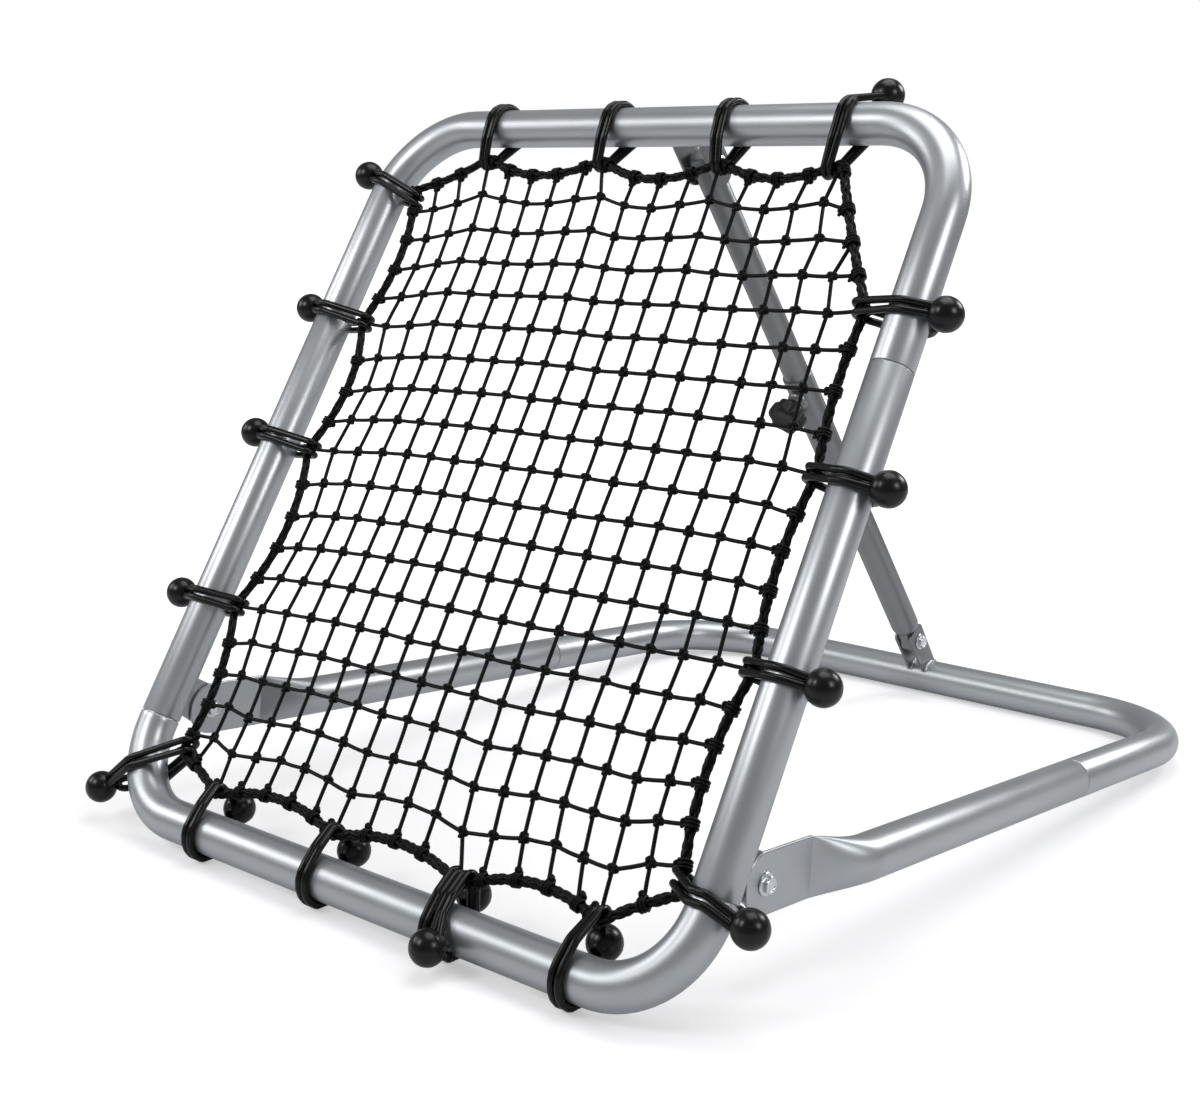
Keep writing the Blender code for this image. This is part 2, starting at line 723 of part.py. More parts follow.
def make_knob(materials, collection, cutters):
    """Lobed clamp knob with its moulded-in stud, which ends just short of the inner tube."""
    foot, _, rise, back = strut_frame()
    centre = foot + rise * KNOB_ALONG
    out = -back
    knob_start = BOSS_SEAT + BOSS_LENGTH + CLEAR
    knob_end = knob_start + KNOB_DEPTH
    stud_start = INNER_RADIUS + CLEAR
    stud_end = knob_start + STUD_IN_KNOB
    stud = cylinder_mesh(
        "knob_stud", centre + out * stud_start, centre + out * stud_end, BOLT_RADIUS, SMALL_SIDES
    )
    place = axis_matrix(centre, out, rise)
    points = 4 * KNOB_LOBES
    profile = (
        (knob_start, 0.55),
        (knob_start + KNOB_DEPTH * 0.28, 0.62),
        (knob_start + KNOB_DEPTH * 0.36, 0.96),
        (knob_end - KNOB_DEPTH * 0.12, 1.0),
        (knob_end, 0.86),
    )
    rings = []
    for height, share in profile:
        ring = []
        for k in range(points):
            angle = 2.0 * math.pi * k / points
            dimple = KNOB_DIMPLE * (1.0 - math.cos(KNOB_LOBES * angle)) / 2.0
            point = polar((KNOB_RADIUS - dimple * share**4) * share, angle)
            ring.append(place @ Vector((point.x, point.y, height)))
        rings.append(ring)
    body = united("knob", [loft("knob", rings), stud], cutters)
    add_object("knob", body, materials["knob_plastic"], collection)


# Border rope and net. The rope hangs in shallow scallops between the points where the bungees hold it.
# Each row: where a bungee holds the rope, as shares of the frame's half width and of its length, the net
# cords tied along the rope up to the next point, and how far that scallop draws in.

ROPE_HOLDS = (
    ("left_1", -0.8931, 0.9020, 3, 0.005),
    ("top_1", -0.6252, 0.9541, 5, 0.0190),
    ("top_2", -0.1672, 0.9509, 4, 0.0200),
    ("top_3", 0.2606, 0.9480, 4, 0.0170),
    ("top_4", 0.6563, 0.9467, 5, 0.002),
    ("right_1", 0.8746, 0.7592, 4, 0.0061),
    ("right_2", 0.8953, 0.5614, 4, 0.0096),
    ("right_3", 0.9075, 0.3424, 5, 0.0137),
    ("right_4", 0.9170, 0.1080, 2, 0.002),
    ("bottom_4", 0.7278, 0.0570, 4, 0.0155),
    ("bottom_3", 0.3014, 0.0443, 4, 0.0140),
    ("bottom_2", -0.1612, 0.0467, 4, 0.0145),
    ("bottom_1", -0.6415, 0.0448, 2, 0.002),
    ("left_5", -0.8487, 0.0807, 5, 0.0138),
    ("left_4", -0.8912, 0.2759, 5, 0.0222),
    ("left_3", -0.8709, 0.5029, 4, 0.0197),
    ("left_2", -0.8739, 0.6931, 4, 0.0177),
)
NET_ACROSS = 16
NET_DOWN = 18


def rope_outline():
    """The rope's points, one at each tied net cord, clockwise from the upper left, and the holds."""
    points = []
    holds = {}
    for row, following in zip(ROPE_HOLDS, ROPE_HOLDS[1:] + ROPE_HOLDS[:1]):
        name, across, up, ties, sag = row
        holds[name] = len(points)
        start = Vector((across * HALF_WIDTH, up * FRAME_LENGTH))
        end = Vector((following[1] * HALF_WIDTH, following[2] * FRAME_LENGTH))
        run = end - start
        inward = Vector((run.y, -run.x)).normalized()
        for k in range(ties):
            share = k / ties
            points.append(start + run * share + inward * sag * 4.0 * share * (1.0 - share))
    return points, holds


def make_border_rope(cord, collection):
    outline, _ = rope_outline()
    points = [on_frame(point.x, point.y) for point in outline]
    curve = poly_curve("border_rope", points, ROPE_RADIUS, 1, cyclic=True)
    add_object("border_rope", curve_mesh("border_rope", curve), cord, collection)


def net_nodes():
    """Crossing points of the net, blended from the four sides of its rope."""
    outline, _ = rope_outline()
    count = len(outline)
    right = NET_ACROSS
    low = right + NET_DOWN
    left = low + NET_ACROSS

    def corner_blend(i, j):
        s = i / NET_ACROSS
        t = j / NET_DOWN
        above = outline[i]
        below = outline[left - i]
        west = outline[(count - j) % count]
        east = outline[right + j]
        straight = (
            outline[0] * (1.0 - s) * (1.0 - t)
            + outline[right] * s * (1.0 - t)
            + outline[left] * (1.0 - s) * t
            + outline[low] * s * t
        )
        return above * (1.0 - t) + below * t + west * (1.0 - s) + east * s - straight

    grid = [[corner_blend(i, j) for i in range(NET_ACROSS + 1)] for j in range(NET_DOWN + 1)]
    tied = [row[:] for row in grid]
    reach = ROPE_RADIUS + CLEAR + NET_TIE_GAP
    for j in range(NET_DOWN + 1):
        for i in range(NET_ACROSS + 1):
            near_i = min(max(i, 1), NET_ACROSS - 1)
            near_j = min(max(j, 1), NET_DOWN - 1)
            inward = grid[near_j][near_i] - grid[j][i]
            if inward.length > 0.0:
                tied[j][i] = grid[j][i] + inward.normalized() * reach
    return tied


def make_net(cord, collection):
    """Square net as a lattice of cords, each cord ending at the rope that it is tied to."""
    bm = bmesh.new()
    rows = [[bm.verts.new(on_frame(p.x, p.y)) for p in row] for row in net_nodes()]
    for upper, lower in zip(rows, rows[1:]):
        for i in range(NET_ACROSS):
            bm.faces.new((upper[i], lower[i], lower[i + 1], upper[i + 1]))
    bm.normal_update()
    bmesh.ops.wireframe(
        bm,
        faces=bm.faces[:],
        thickness=NET_CORD,
        use_replace=True,
        use_boundary=False,
        use_even_offset=True,
    )
    selvedge = {face for edge in bm.edges if edge.is_boundary for face in edge.link_faces}
    bmesh.ops.delete(bm, geom=list(selvedge), context="FACES")
    open_ends = [edge for edge in bm.edges if edge.is_boundary]
    bmesh.ops.holes_fill(bm, edges=open_ends, sides=4)
    add_object("net", mesh_from(bm, "net"), cord, collection)


# Bungees. Each row: its name, the rope hold that it grips, how far off the hold along the tube, where it
# crosses the tube's front along that tube (a share of the half width on the top and bottom, of the length
# on the sides), the ball's angle about the tube from straight outwards to the front, its distance from
# the tube's axis and its shift along the tube from that crossing.

BUNGEES = (
    ("top_1", "top_1", 0.0, -0.6090, TOP_ANGLE, TAUT_BALL, 0.000),
    ("top_2", "top_2", 0.0, -0.1510, TOP_ANGLE, TAUT_BALL, 0.000),
    ("top_3", "top_3", 0.0, 0.2590, TOP_ANGLE, TAUT_BALL, 0.000),
    ("top_4", "top_4", -0.010, 0.6490, TOP_CORNER_ANGLE, LOOSE_BALL, 0.010),
    ("left_1", "left_1", -0.010, 0.9040, SIDE_ANGLE, EASY_BALL, 0.004),
    ("left_2", "left_2", 0.0, 0.6980, SIDE_ANGLE, TAUT_BALL, 0.005),
    ("left_3", "left_3", 0.0, 0.5060, SIDE_ANGLE, TAUT_BALL, 0.004),
    ("left_4", "left_4", 0.0, 0.2735, SIDE_ANGLE, EASY_BALL, 0.000),
    ("left_5", "left_5", 0.0, 0.0460, SIDE_ANGLE, CORNER_BALL, 0.000),
    ("right_1", "right_1", 0.0, 0.7540, SIDE_ANGLE, TIGHT_BALL, 0.002),
    ("right_2", "right_2", 0.0, 0.5540, SIDE_ANGLE, TIGHT_BALL, 0.000),
    ("right_3", "right_3", 0.0, 0.3385, SIDE_ANGLE, TIGHT_BALL, 0.000),
    ("right_4", "right_4", 0.010, 0.1080, SIDE_ANGLE, EASY_BALL, -0.008),
    ("bottom_1", "bottom_1", 0.0, -0.6130, UNDER_ANGLE, LOOSE_BALL, -0.011),
    ("bottom_2", "bottom_2", 0.0, -0.1420, UNDER_ANGLE, LOOSE_BALL, -0.010),
    ("bottom_3", "bottom_3", -0.010, 0.2950, UNDER_ANGLE, LOOSE_BALL, -0.010),
    ("bottom_4", "bottom_4", 0.0, 0.7140, UNDER_ANGLE, LOOSE_BALL, -0.009),
    ("bottom_front", "bottom_3", 0.010, 0.3400, FRONT_ANGLE, TAUT_BALL, 0.006),
)


def frame_axis(side, share):
    """Point on the net frame's axis and the direction outwards there, both as u and v."""
    outwards = {
        "top": Vector((0.0, 1.0)),
        "bottom": Vector((0.0, -1.0)),
        "left": Vector((-1.0, 0.0)),
        "right": Vector((1.0, 0.0)),
    }[side]
    if side in ("top", "bottom"):
        return Vector((share * HALF_WIDTH, FRAME_LENGTH if side == "top" else 0.0)), outwards
    along = share * FRAME_LENGTH
    bend = 0.0
    if along < FOOT_BEND:
        bend = FOOT_BEND
        middle = FOOT_BEND
    if along > FRAME_LENGTH - FRAME_BEND:
        bend = FRAME_BEND
        middle = FRAME_LENGTH - FRAME_BEND
    if bend == 0.0:
        return Vector((outwards.x * HALF_WIDTH, along)), outwards
    rise = math.asin((along - middle) / bend)
    outwards = Vector((outwards.x * math.cos(rise), math.sin(rise)))
    centre = Vector((math.copysign(HALF_WIDTH - bend, outwards.x), middle))
    return centre + outwards * bend, outwards


def tangent_arc(centre, radius, start, end, step):
    """Corners of a path that touches a circle from one angle to another without cutting it."""
    steps = max(1, math.ceil(abs(end - start) / step))
    turn = (end - start) / steps
    corner = radius / math.cos(turn / 2.0)
    return [centre + polar(corner, start + turn * (k + 0.5)) for k in range(steps)]


def half_loop(reach, rope_wrap, ball_angle, ball_distance):
    """One side of a taut loop: its corners on the tube, from the ball, and its angle at the rope."""
    tube = Vector((reach, 0.0))
    lean = math.pi / 2.0 + math.asin((TUBE_WRAP - rope_wrap) / reach)
    touch = ball_angle + math.acos(TUBE_WRAP / ball_distance)
    if touch < lean:
        return tangent_arc(tube, TUBE_WRAP, touch, lean, TUBE_WRAP_STEP), lean
    ball = tube + polar(ball_distance, ball_angle)
    return [], math.atan2(ball.y, ball.x) + math.acos(rope_wrap / ball.length)


def strand_corners(reach, rope_wrap, ball_angle, ball_distance):
    """Corners of one strand in its own plane: front ones, those round the rope, and rear ones."""
    front, front_angle = half_loop(reach, rope_wrap, ball_angle, ball_distance)
    rear, rear_angle = half_loop(reach, rope_wrap, -ball_angle, ball_distance)
    rear = [Vector((point.x, -point.y)) for point in reversed(rear)]
    round_rope = tangent_arc(
        Vector((0.0, 0.0)), rope_wrap, front_angle, 2.0 * math.pi - rear_angle, ROPE_WRAP_STEP
    )
    return front, round_rope, rear


def strand(tube, outwards, along, hold, branch, shift, half, ball):
    """One strand of a bungee from the ball's front, round the rope and back to the ball's rear."""
    angle, distance, ball_shift, side = ball
    place = shift + side * half
    run = (branch - hold).normalized()
    slant = run.dot(along)
    grip = hold + run * (place / slant)
    reach = (tube - grip).dot(outwards)
    at_rope = (grip - tube).dot(along)
    at_ball = ball_shift + side * STRAND_AT_BALL
    at_tube = side * (half + STRAND_AT_BALL) / 2.0
    wrap = ROPE_WRAP / abs(slant)
    front, round_rope, rear = strand_corners(reach, wrap, angle, distance)
    centre = Vector((reach, 0.0)) + polar(distance, angle)
    nearest = (front or round_rope)[0]
    start = centre + (nearest - centre).normalized() * (BALL_RADIUS + CLEAR)
    nearest = (rear or round_rope)[-1]
    turn = BALL_RADIUS + CLEAR + CORD_RADIUS + STRAND_AT_BALL
    end = centre + (nearest - centre).normalized() * turn
    path = [(start, at_ball)]
    path += [(point, at_tube) for point in front]
    path += [(point, at_rope) for point in round_rope]
    path += [(point, at_tube) for point in rear]
    path.append((end, at_ball))
    placed = []
    for point, lateral in path:
        flat = tube + outwards * (point.x - reach) + along * lateral
        placed.append(on_frame(flat.x, flat.y, point.y))
    pole = centre + (nearest - centre).normalized() * (turn - STRAND_AT_BALL)
    flat = tube + outwards * (pole.x - reach) + along * ball_shift
    return placed, on_frame(flat.x, flat.y, pole.y)


def make_bungees(materials, collection, cutters):
    outline, holds = rope_outline()
    under = Matrix.Translation(world(0.0, 0.0, -FRAME_BEND / 2.0))
    slab = box_mesh("ground", under, (2.0 * FRAME_WIDTH, BASE_DEPTH, FRAME_BEND))
    ground = add_cutter("ground", slab, cutters)
    sphere = bmesh.new()
    bmesh.ops.create_icosphere(sphere, subdivisions=2, radius=BALL_RADIUS)
    ball_mesh = mesh_from(sphere, "ball")
    for name, hold_name, shift, crossing, angle, distance, ball_shift in BUNGEES:
        side_name = name.split("_")[0]
        tube, outwards = frame_axis(side_name, crossing)
        along = Vector((abs(outwards.y), abs(outwards.x)))
        along = along - outwards * along.dot(outwards)
        along = along.normalized()
        index = holds[hold_name]
        hold = outline[index]
        neighbours = (outline[index - 1], outline[(index + 1) % len(outline)])
        half = STRAND_AT_BALL if shift else STRAND_AT_ROPE
        strands = []
        for side in (1.0, -1.0):
            place = shift + side * half
            branch = max(neighbours, key=lambda point: (point - hold).dot(along) * place)
            ball = (angle, distance, ball_shift, side)
            strands.append(strand(tube, outwards, along, hold, branch, shift, half, ball))
        (first, pole), (second, _) = strands
        path = first + [pole] + second[::-1]
        node = "bungee_" + name
        mesh = curve_mesh(node, poly_curve(node, path, CORD_RADIUS, 1))
        cord = add_object(node, mesh, materials["elastic_cord"], collection)
        if side_name == "bottom":
            add_boolean(cord, ground, "DIFFERENCE")
        centre = tube + outwards * distance * math.cos(angle) + along * ball_shift
        shape = add_object("ball_" + name, ball_mesh, materials["ball_plastic"], collection)
        shape.location = on_frame(centre.x, centre.y, distance * math.sin(angle))


def clear_scene():
    for shape in list(bpy.data.objects):
        bpy.data.objects.remove(shape, do_unlink=True)


def make_collection(name):
    collection = bpy.data.collections.new(name)
    bpy.context.scene.collection.children.link(collection)
    return collection


def main():
    clear_scene()
    materials = make_materials()
    collection = make_collection("baseball_rebounder")
    cutters = make_collection("cutters")
    paint = materials["frame_paint"]
    strut_paint = materials["strut_paint"]
    zinc = materials["zinc"]
    make_frame_tubes(paint, collection)
    make_hinge_plates(paint, collection)
    make_rear_tube(paint, collection)
    make_arm("left_arm", -HALF_WIDTH, paint, collection, cutters)
    make_arm("right_arm", HALF_WIDTH, paint, collection, cutters)
    make_hinge_fasteners(zinc, collection, cutters)
    make_foot_bracket(strut_paint, collection, cutters)
    make_head_bracket(strut_paint, collection, cutters)
    make_strut(strut_paint, collection, cutters)
    foot, head, _, _ = strut_frame()
    foot_half = FOOT_EAR_GAP / 2.0 + EAR
    head_half = INNER_RADIUS + CLEAR + EAR
    make_bracket_fasteners("foot", foot, foot_half, zinc, collection, cutters)
    make_bracket_fasteners("head", head, head_half, zinc, collection, cutters)
    make_knob(materials, collection, cutters)
    make_border_rope(materials["net_cord"], collection)
    make_net(materials["net_cord"], collection)
    make_bungees(materials, collection, cutters)


if __name__ == "__main__":
    main()
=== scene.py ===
"""Baseball rebounder: finished tubes, net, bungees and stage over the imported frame, in metres."""

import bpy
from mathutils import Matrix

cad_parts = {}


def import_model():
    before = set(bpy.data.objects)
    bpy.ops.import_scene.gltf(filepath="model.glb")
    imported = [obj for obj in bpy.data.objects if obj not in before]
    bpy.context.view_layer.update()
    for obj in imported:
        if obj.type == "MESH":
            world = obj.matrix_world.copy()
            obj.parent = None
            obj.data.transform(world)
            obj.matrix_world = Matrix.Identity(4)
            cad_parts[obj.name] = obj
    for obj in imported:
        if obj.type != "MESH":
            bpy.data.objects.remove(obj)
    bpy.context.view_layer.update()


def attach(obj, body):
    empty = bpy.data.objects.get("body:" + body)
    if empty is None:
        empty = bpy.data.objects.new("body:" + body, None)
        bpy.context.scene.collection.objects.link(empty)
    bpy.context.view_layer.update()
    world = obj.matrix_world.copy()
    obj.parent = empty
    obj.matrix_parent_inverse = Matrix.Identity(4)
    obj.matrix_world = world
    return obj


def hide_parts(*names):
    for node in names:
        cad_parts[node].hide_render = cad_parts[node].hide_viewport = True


bl_info = {
    "name": "Baseball Rebounder",
    "version": (1, 0, 0),
    "blender": (4, 5, 0),
    "location": "3D View > Sidebar > Rebounder",
    "description": "Tubes, knotted net, ball bungees, strut and stage of a baseball rebounder",
    "category": "Object",
}

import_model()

import math

import bmesh
import bpy
from bpy.props import FloatProperty, FloatVectorProperty, IntProperty, PointerProperty
from mathutils import Matrix, Vector
from mathutils.noise import noise

# Places of the solids that the pieces follow
ORIGIN_DEPTH = 0.42425
BOTTOM_HEIGHT = 0.02447
FRAME_LEAN = math.radians(32.0)
FRAME_LENGTH = 0.752
HALF_WIDTH = 0.335
FRAME_BEND = 0.090
FOOT_BEND = 0.080
UPPER_SEAM = 0.520
LOWER_SEAM = 0.085
BASE_DEPTH = 0.882
BASE_SHIFT = 0.020
BASE_BEND = 0.118
BASE_SEAM = 0.300
TUBE_RADIUS = 0.019
PIVOT_DEPTH = 0.102
PIVOT_HEIGHT = 0.092
HINGE_PLATE = 0.004
HINGE_RIM = 0.021
HINGE_WELD_BELOW = 0.017
HINGE_WELD_ABOVE = 0.021
ARM_FLAT = 0.0034
ARM_FLAT_HEIGHT = 0.050
ARM_FLAT_LENGTH = 0.061
ARM_PRESS_LENGTH = 0.057
FOOT_BEFORE_BAR = 0.029
FOOT_ABOVE_BAR = 0.049
HEAD_BEHIND_TUBE = 0.0453
HEAD_BELOW_TUBE = 0.036
STRUT_RADIUS = 0.016
STRUT_START = 0.022
STRUT_END = 0.420
INNER_RADIUS = 0.014
INNER_START = 0.185
INNER_HEAD = 0.014
EAR = 0.003
FOOT_EAR_GAP = 0.016
FOOT_EAR_HALF = 0.014
FOOT_EAR_TOP = 0.019
FOOT_EYE_HALF = FOOT_EAR_GAP / 2.0 - 0.0004
HEAD_EAR_HALF = 0.015
HEAD_EAR_DROP = 0.006
KNOB_ALONG = 0.395
BOSS_END = 0.02225
TOUCH_GAP = 0.0003

# Finishing of tubes and plates
ROUND_SIDES = 56
SPIGOT_LENGTH = 0.006
SPIGOT_STEP = 2.4
BLADE_ROUNDING = 0.0009
BLADE_FLAT = 0.93
PRESS_STEPS = 18
BEAD_STEP = 0.0006
THREAD_STEP = 0.00042
KNOB_RADIUS = 0.020
KNOB_DEPTH = 0.024
KNOB_LOBES = 6
KNOB_DIMPLE = 0.0034

ACROSS = Vector((1.0, 0.0, 0.0))
SLOPE = Vector((0.0, math.sin(FRAME_LEAN), math.cos(FRAME_LEAN)))
FRONT = Vector((0.0, -math.cos(FRAME_LEAN), math.sin(FRAME_LEAN)))
SIDES = (("left", -HALF_WIDTH), ("right", HALF_WIDTH))

# Where each bungee holds the border rope, as shares of the frame's half width and of its length,
# the net cords tied along the rope up to the next hold, how far that scallop draws in, and the
# shares of the way at which the first and the last cord between the holds is tied
ROPE_HOLDS = (
    ("left_1", -0.8931, 0.9020, 3, 0.005, 0.31, 0.63),
    ("top_1", -0.6252, 0.9541, 5, 0.0190, 0.24, 0.88),
    ("top_2", -0.1672, 0.9509, 4, 0.0200, 0.34, 0.80),
    ("top_3", 0.2606, 0.9480, 4, 0.0170, 0.30, 0.77),
    ("top_4", 0.6563, 0.9467, 4, 0.002, 0.32, 0.77),
    ("right_1", 0.8746, 0.7592, 4, 0.0061, 0.25, 0.76),
    ("right_2", 0.8953, 0.5614, 5, 0.0096, 0.21, 0.81),
    ("right_3", 0.9075, 0.3424, 6, 0.0137, 0.19, 0.88),
    ("right_4", 0.9170, 0.1080, 2, 0.002, 0.46, 0.46),
    ("bottom_4", 0.7278, 0.0570, 5, 0.0155, 0.17, 0.85),
    ("bottom_3", 0.3014, 0.0443, 4, 0.0140, 0.33, 0.76),
    ("bottom_2", -0.1612, 0.0467, 5, 0.0145, 0.20, 0.82),
    ("bottom_1", -0.6415, 0.0448, 2, 0.002, 0.67, 0.67),
    ("left_5", -0.8487, 0.0807, 5, 0.0138, 0.12, 0.74),
    ("left_4", -0.8912, 0.2759, 5, 0.0222, 0.19, 0.78),
    ("left_3", -0.8709, 0.5029, 4, 0.0197, 0.21, 0.70),
    ("left_2", -0.8739, 0.6931, 5, 0.0177, 0.17, 0.83),
)
ROPE_STEP = 0.0016
ROPE_SMOOTHING = 4
BRAID_STRANDS = 4

# Steps of a turn of lashing, of a net cord from knot to knot, and along the rope from a bungee's
# hold to the tie beside it
LASH_STEPS = 14
CORD_STEPS = 4
TIE_BESIDE = 6

# The net's openings across and down. Its upper right corner is cut: the last column starts below
# the rows that are named here
COLUMNS = 18
ROWS = 19
CUT_ROWS = 2
NET_GIVE = 0.15
NET_ROUNDS = 300
KNOT_SWAY = 0.0011
KNOT_SWAY_OUT = 0.0012
CORD_BOW = 0.0009

# Each bungee's rope hold, its place off that hold, where it crosses its tube (share of the half
# width or of the length), the ball's angle about the tube, its distance from the axis and its
# shift along the tube
SIDE_ANGLE = math.radians(8.0)
TOP_ANGLE = math.radians(-60.0)
TOP_CORNER_ANGLE = math.radians(-24.0)
UNDER_ANGLE = math.radians(-132.0)
FRONT_ANGLE = math.radians(58.0)
TIGHT_BALL = 0.0355
TAUT_BALL = 0.0375
EASY_BALL = 0.041
LOOSE_BALL = 0.046
CORNER_BALL = 0.054
BUNGEES = (
    ("top_1", "top_1", 0.0, -0.6090, TOP_ANGLE, TAUT_BALL, 0.000),
    ("top_2", "top_2", 0.0, -0.1510, TOP_ANGLE, TAUT_BALL, 0.000),
    ("top_3", "top_3", 0.0, 0.2590, TOP_ANGLE, TAUT_BALL, 0.000),
    ("top_4", "top_4", -0.010, 0.6490, TOP_CORNER_ANGLE, LOOSE_BALL, 0.010),
    ("left_1", "left_1", -0.010, 0.9040, SIDE_ANGLE, EASY_BALL, 0.004),
    ("left_2", "left_2", 0.0, 0.6980, SIDE_ANGLE, TAUT_BALL, 0.005),
    ("left_3", "left_3", 0.0, 0.5060, SIDE_ANGLE, TAUT_BALL, 0.004),
    ("left_4", "left_4", 0.0, 0.2735, SIDE_ANGLE, EASY_BALL, 0.000),
    ("left_5", "left_5", 0.0, 0.0460, SIDE_ANGLE, CORNER_BALL, 0.000),
    ("right_1", "right_1", 0.0, 0.7540, SIDE_ANGLE, TIGHT_BALL, 0.002),
    ("right_2", "right_2", 0.0, 0.5540, SIDE_ANGLE, TIGHT_BALL, 0.000),
    ("right_3", "right_3", 0.0, 0.3385, SIDE_ANGLE, TIGHT_BALL, 0.000),
    ("right_4", "right_4", 0.010, 0.1080, SIDE_ANGLE, EASY_BALL, -0.008),
    ("bottom_1", "bottom_1", 0.0, -0.6130, UNDER_ANGLE, LOOSE_BALL, -0.011),
    ("bottom_2", "bottom_2", 0.0, -0.1420, UNDER_ANGLE, LOOSE_BALL, -0.010),
    ("bottom_3", "bottom_3", -0.006, 0.2990, UNDER_ANGLE, LOOSE_BALL, -0.0113),
    ("bottom_4", "bottom_4", 0.0, 0.7140, UNDER_ANGLE, LOOSE_BALL, -0.009),
    ("bottom_front", "bottom_3", 0.006, 0.3330, FRONT_ANGLE, TAUT_BALL, 0.0083),
)
SHARED_HOLD = "bottom_3"

# Cord radii from a bungee's middle to each of its two strands, at the rope and on the tube, for
# the bungees of the level tubes and of the side tubes, then on the tube at the shared hold and at
# the ball
LEVEL_SPREADS = (0.8, 1.08)
SIDE_SPREADS = (1.5, 1.3)
SHARED_SPREAD = 0.8
BALL_SPREAD = 1.15
SLACK_BOW = 0.0032
CORD_LIFT = 0.0002
BALL_GRIP = 0.003
BUNGEE_STEP = 0.007

# Square lamps round the part: name, place, width and power
LAMPS = (
    ("overhead_softbox", (0.2, 0.3, 2.6), 1.8, 32.0),
    ("left_softbox", (-0.9, -2.4, 2.0), 0.9, 26.0),
    ("far_left_softbox", (-2.4, -1.5, 1.5), 1.1, 17.0),
    ("right_softbox", (2.5, -0.3, 1.5), 0.8, 17.0),
    ("rear_softbox", (1.2, 2.2, 1.8), 0.9, 32.0),
)
LAMP_TARGET = Vector((0.0, 0.0, 0.3))

# The photo's viewing place and angle
CAMERA_PLACE = (1.08127, -1.37947, 0.63007)
CAMERA_PITCH = math.radians(90.0 - 7.605)
CAMERA_HEADING = math.radians(40.542)
CAMERA_SHIFT = -0.12375
SENSOR_WIDTH = 36.0


def world(x, depth, height):
    """Point from width, depth behind the bottom tube's axis and height."""
    return Vector((x, depth - ORIGIN_DEPTH, height))


def on_frame(u, v, n=0.0):
    """Point of the net frame: u across, v up the slope, n out of the front."""
    return world(u, 0.0, BOTTOM_HEIGHT) + SLOPE * v + FRONT * n


def linear(hex_colour):
    """Scene-linear colour of an sRGB hex value."""
    channels = []
    for start in (0, 2, 4):
        share = int(hex_colour[start : start + 2], 16) / 255.0
        if share <= 0.04045:
            channels.append(share / 12.92)
        else:
            channels.append(((share + 0.055) / 1.055) ** 2.4)
    return tuple(channels)


# Sizes and colours


def size_setting(name, description, default):
    """A length in metres."""
    return FloatProperty(
        name=name,
        description=description,
        default=default,
        min=0.0,
        unit="LENGTH",
        subtype="DISTANCE",
    )


def colour_setting(name, description, hex_colour):
    """A colour from its sRGB hex value."""
    return FloatVectorProperty(
        name=name,
        description=description,
        default=linear(hex_colour),
        size=3,
        min=0.0,
        max=1.0,
        subtype="COLOR",
    )


class TubeSettings(bpy.types.PropertyGroup):
    paint: colour_setting(
        "Frame paint", "Silver-grey powder coat of the frame and base", "B1B4B8"
    )
    strut_paint: colour_setting(
        "Strut paint", "Darker grey powder coat of the strut and brackets", "838486"
    )
    seam_groove: size_setting("Seam groove", "Width of the groove where two tubes meet", 0.0011)
    edge_rounding: size_setting("Edge rounding", "Rounding of the tube ends at a seam", 0.0007)


class NetSettings(bpy.types.PropertyGroup):
    cord_radius: size_setting("Net cord radius", "Radius of the cords of the net", 0.0018)
    knot_reach: size_setting("Knot reach", "Half the width of a tight knot's turns", 0.0043)
    rope_radius: size_setting("Rope radius", "Radius of the braided border rope", 0.0041)
    braid_pitch: size_setting("Braid pitch", "Length of a strand's turn round the rope", 0.066)
    lashing_turns: IntProperty(
        name="Lashing turns", description="Turns of cord at each tie", default=3, min=1, max=6
    )
    colour: colour_setting("Net colour", "Black of the polyethylene cord", "040405")


class BungeeSettings(bpy.types.PropertyGroup):
    cord_radius: size_setting("Bungee radius", "Radius of the elastic cord", 0.0033)
    ball_radius: size_setting("Ball radius", "Radius of the moulded balls", 0.015)
    cord_colour: colour_setting("Cord colour", "Black of the elastic cord's sleeve", "040405")
    ball_colour: colour_setting("Ball colour", "Black of the moulded balls", "040405")


class StageSettings(bpy.types.PropertyGroup):
    floor_colour: colour_setting("Floor colour", "Pale floor under the part", "CFCFD1")
    lens: FloatProperty(
        name="Lens",
        description="Focal length of the camera",
        default=53.738,
        min=1.0,
        unit="CAMERA",
    )


# Mesh building


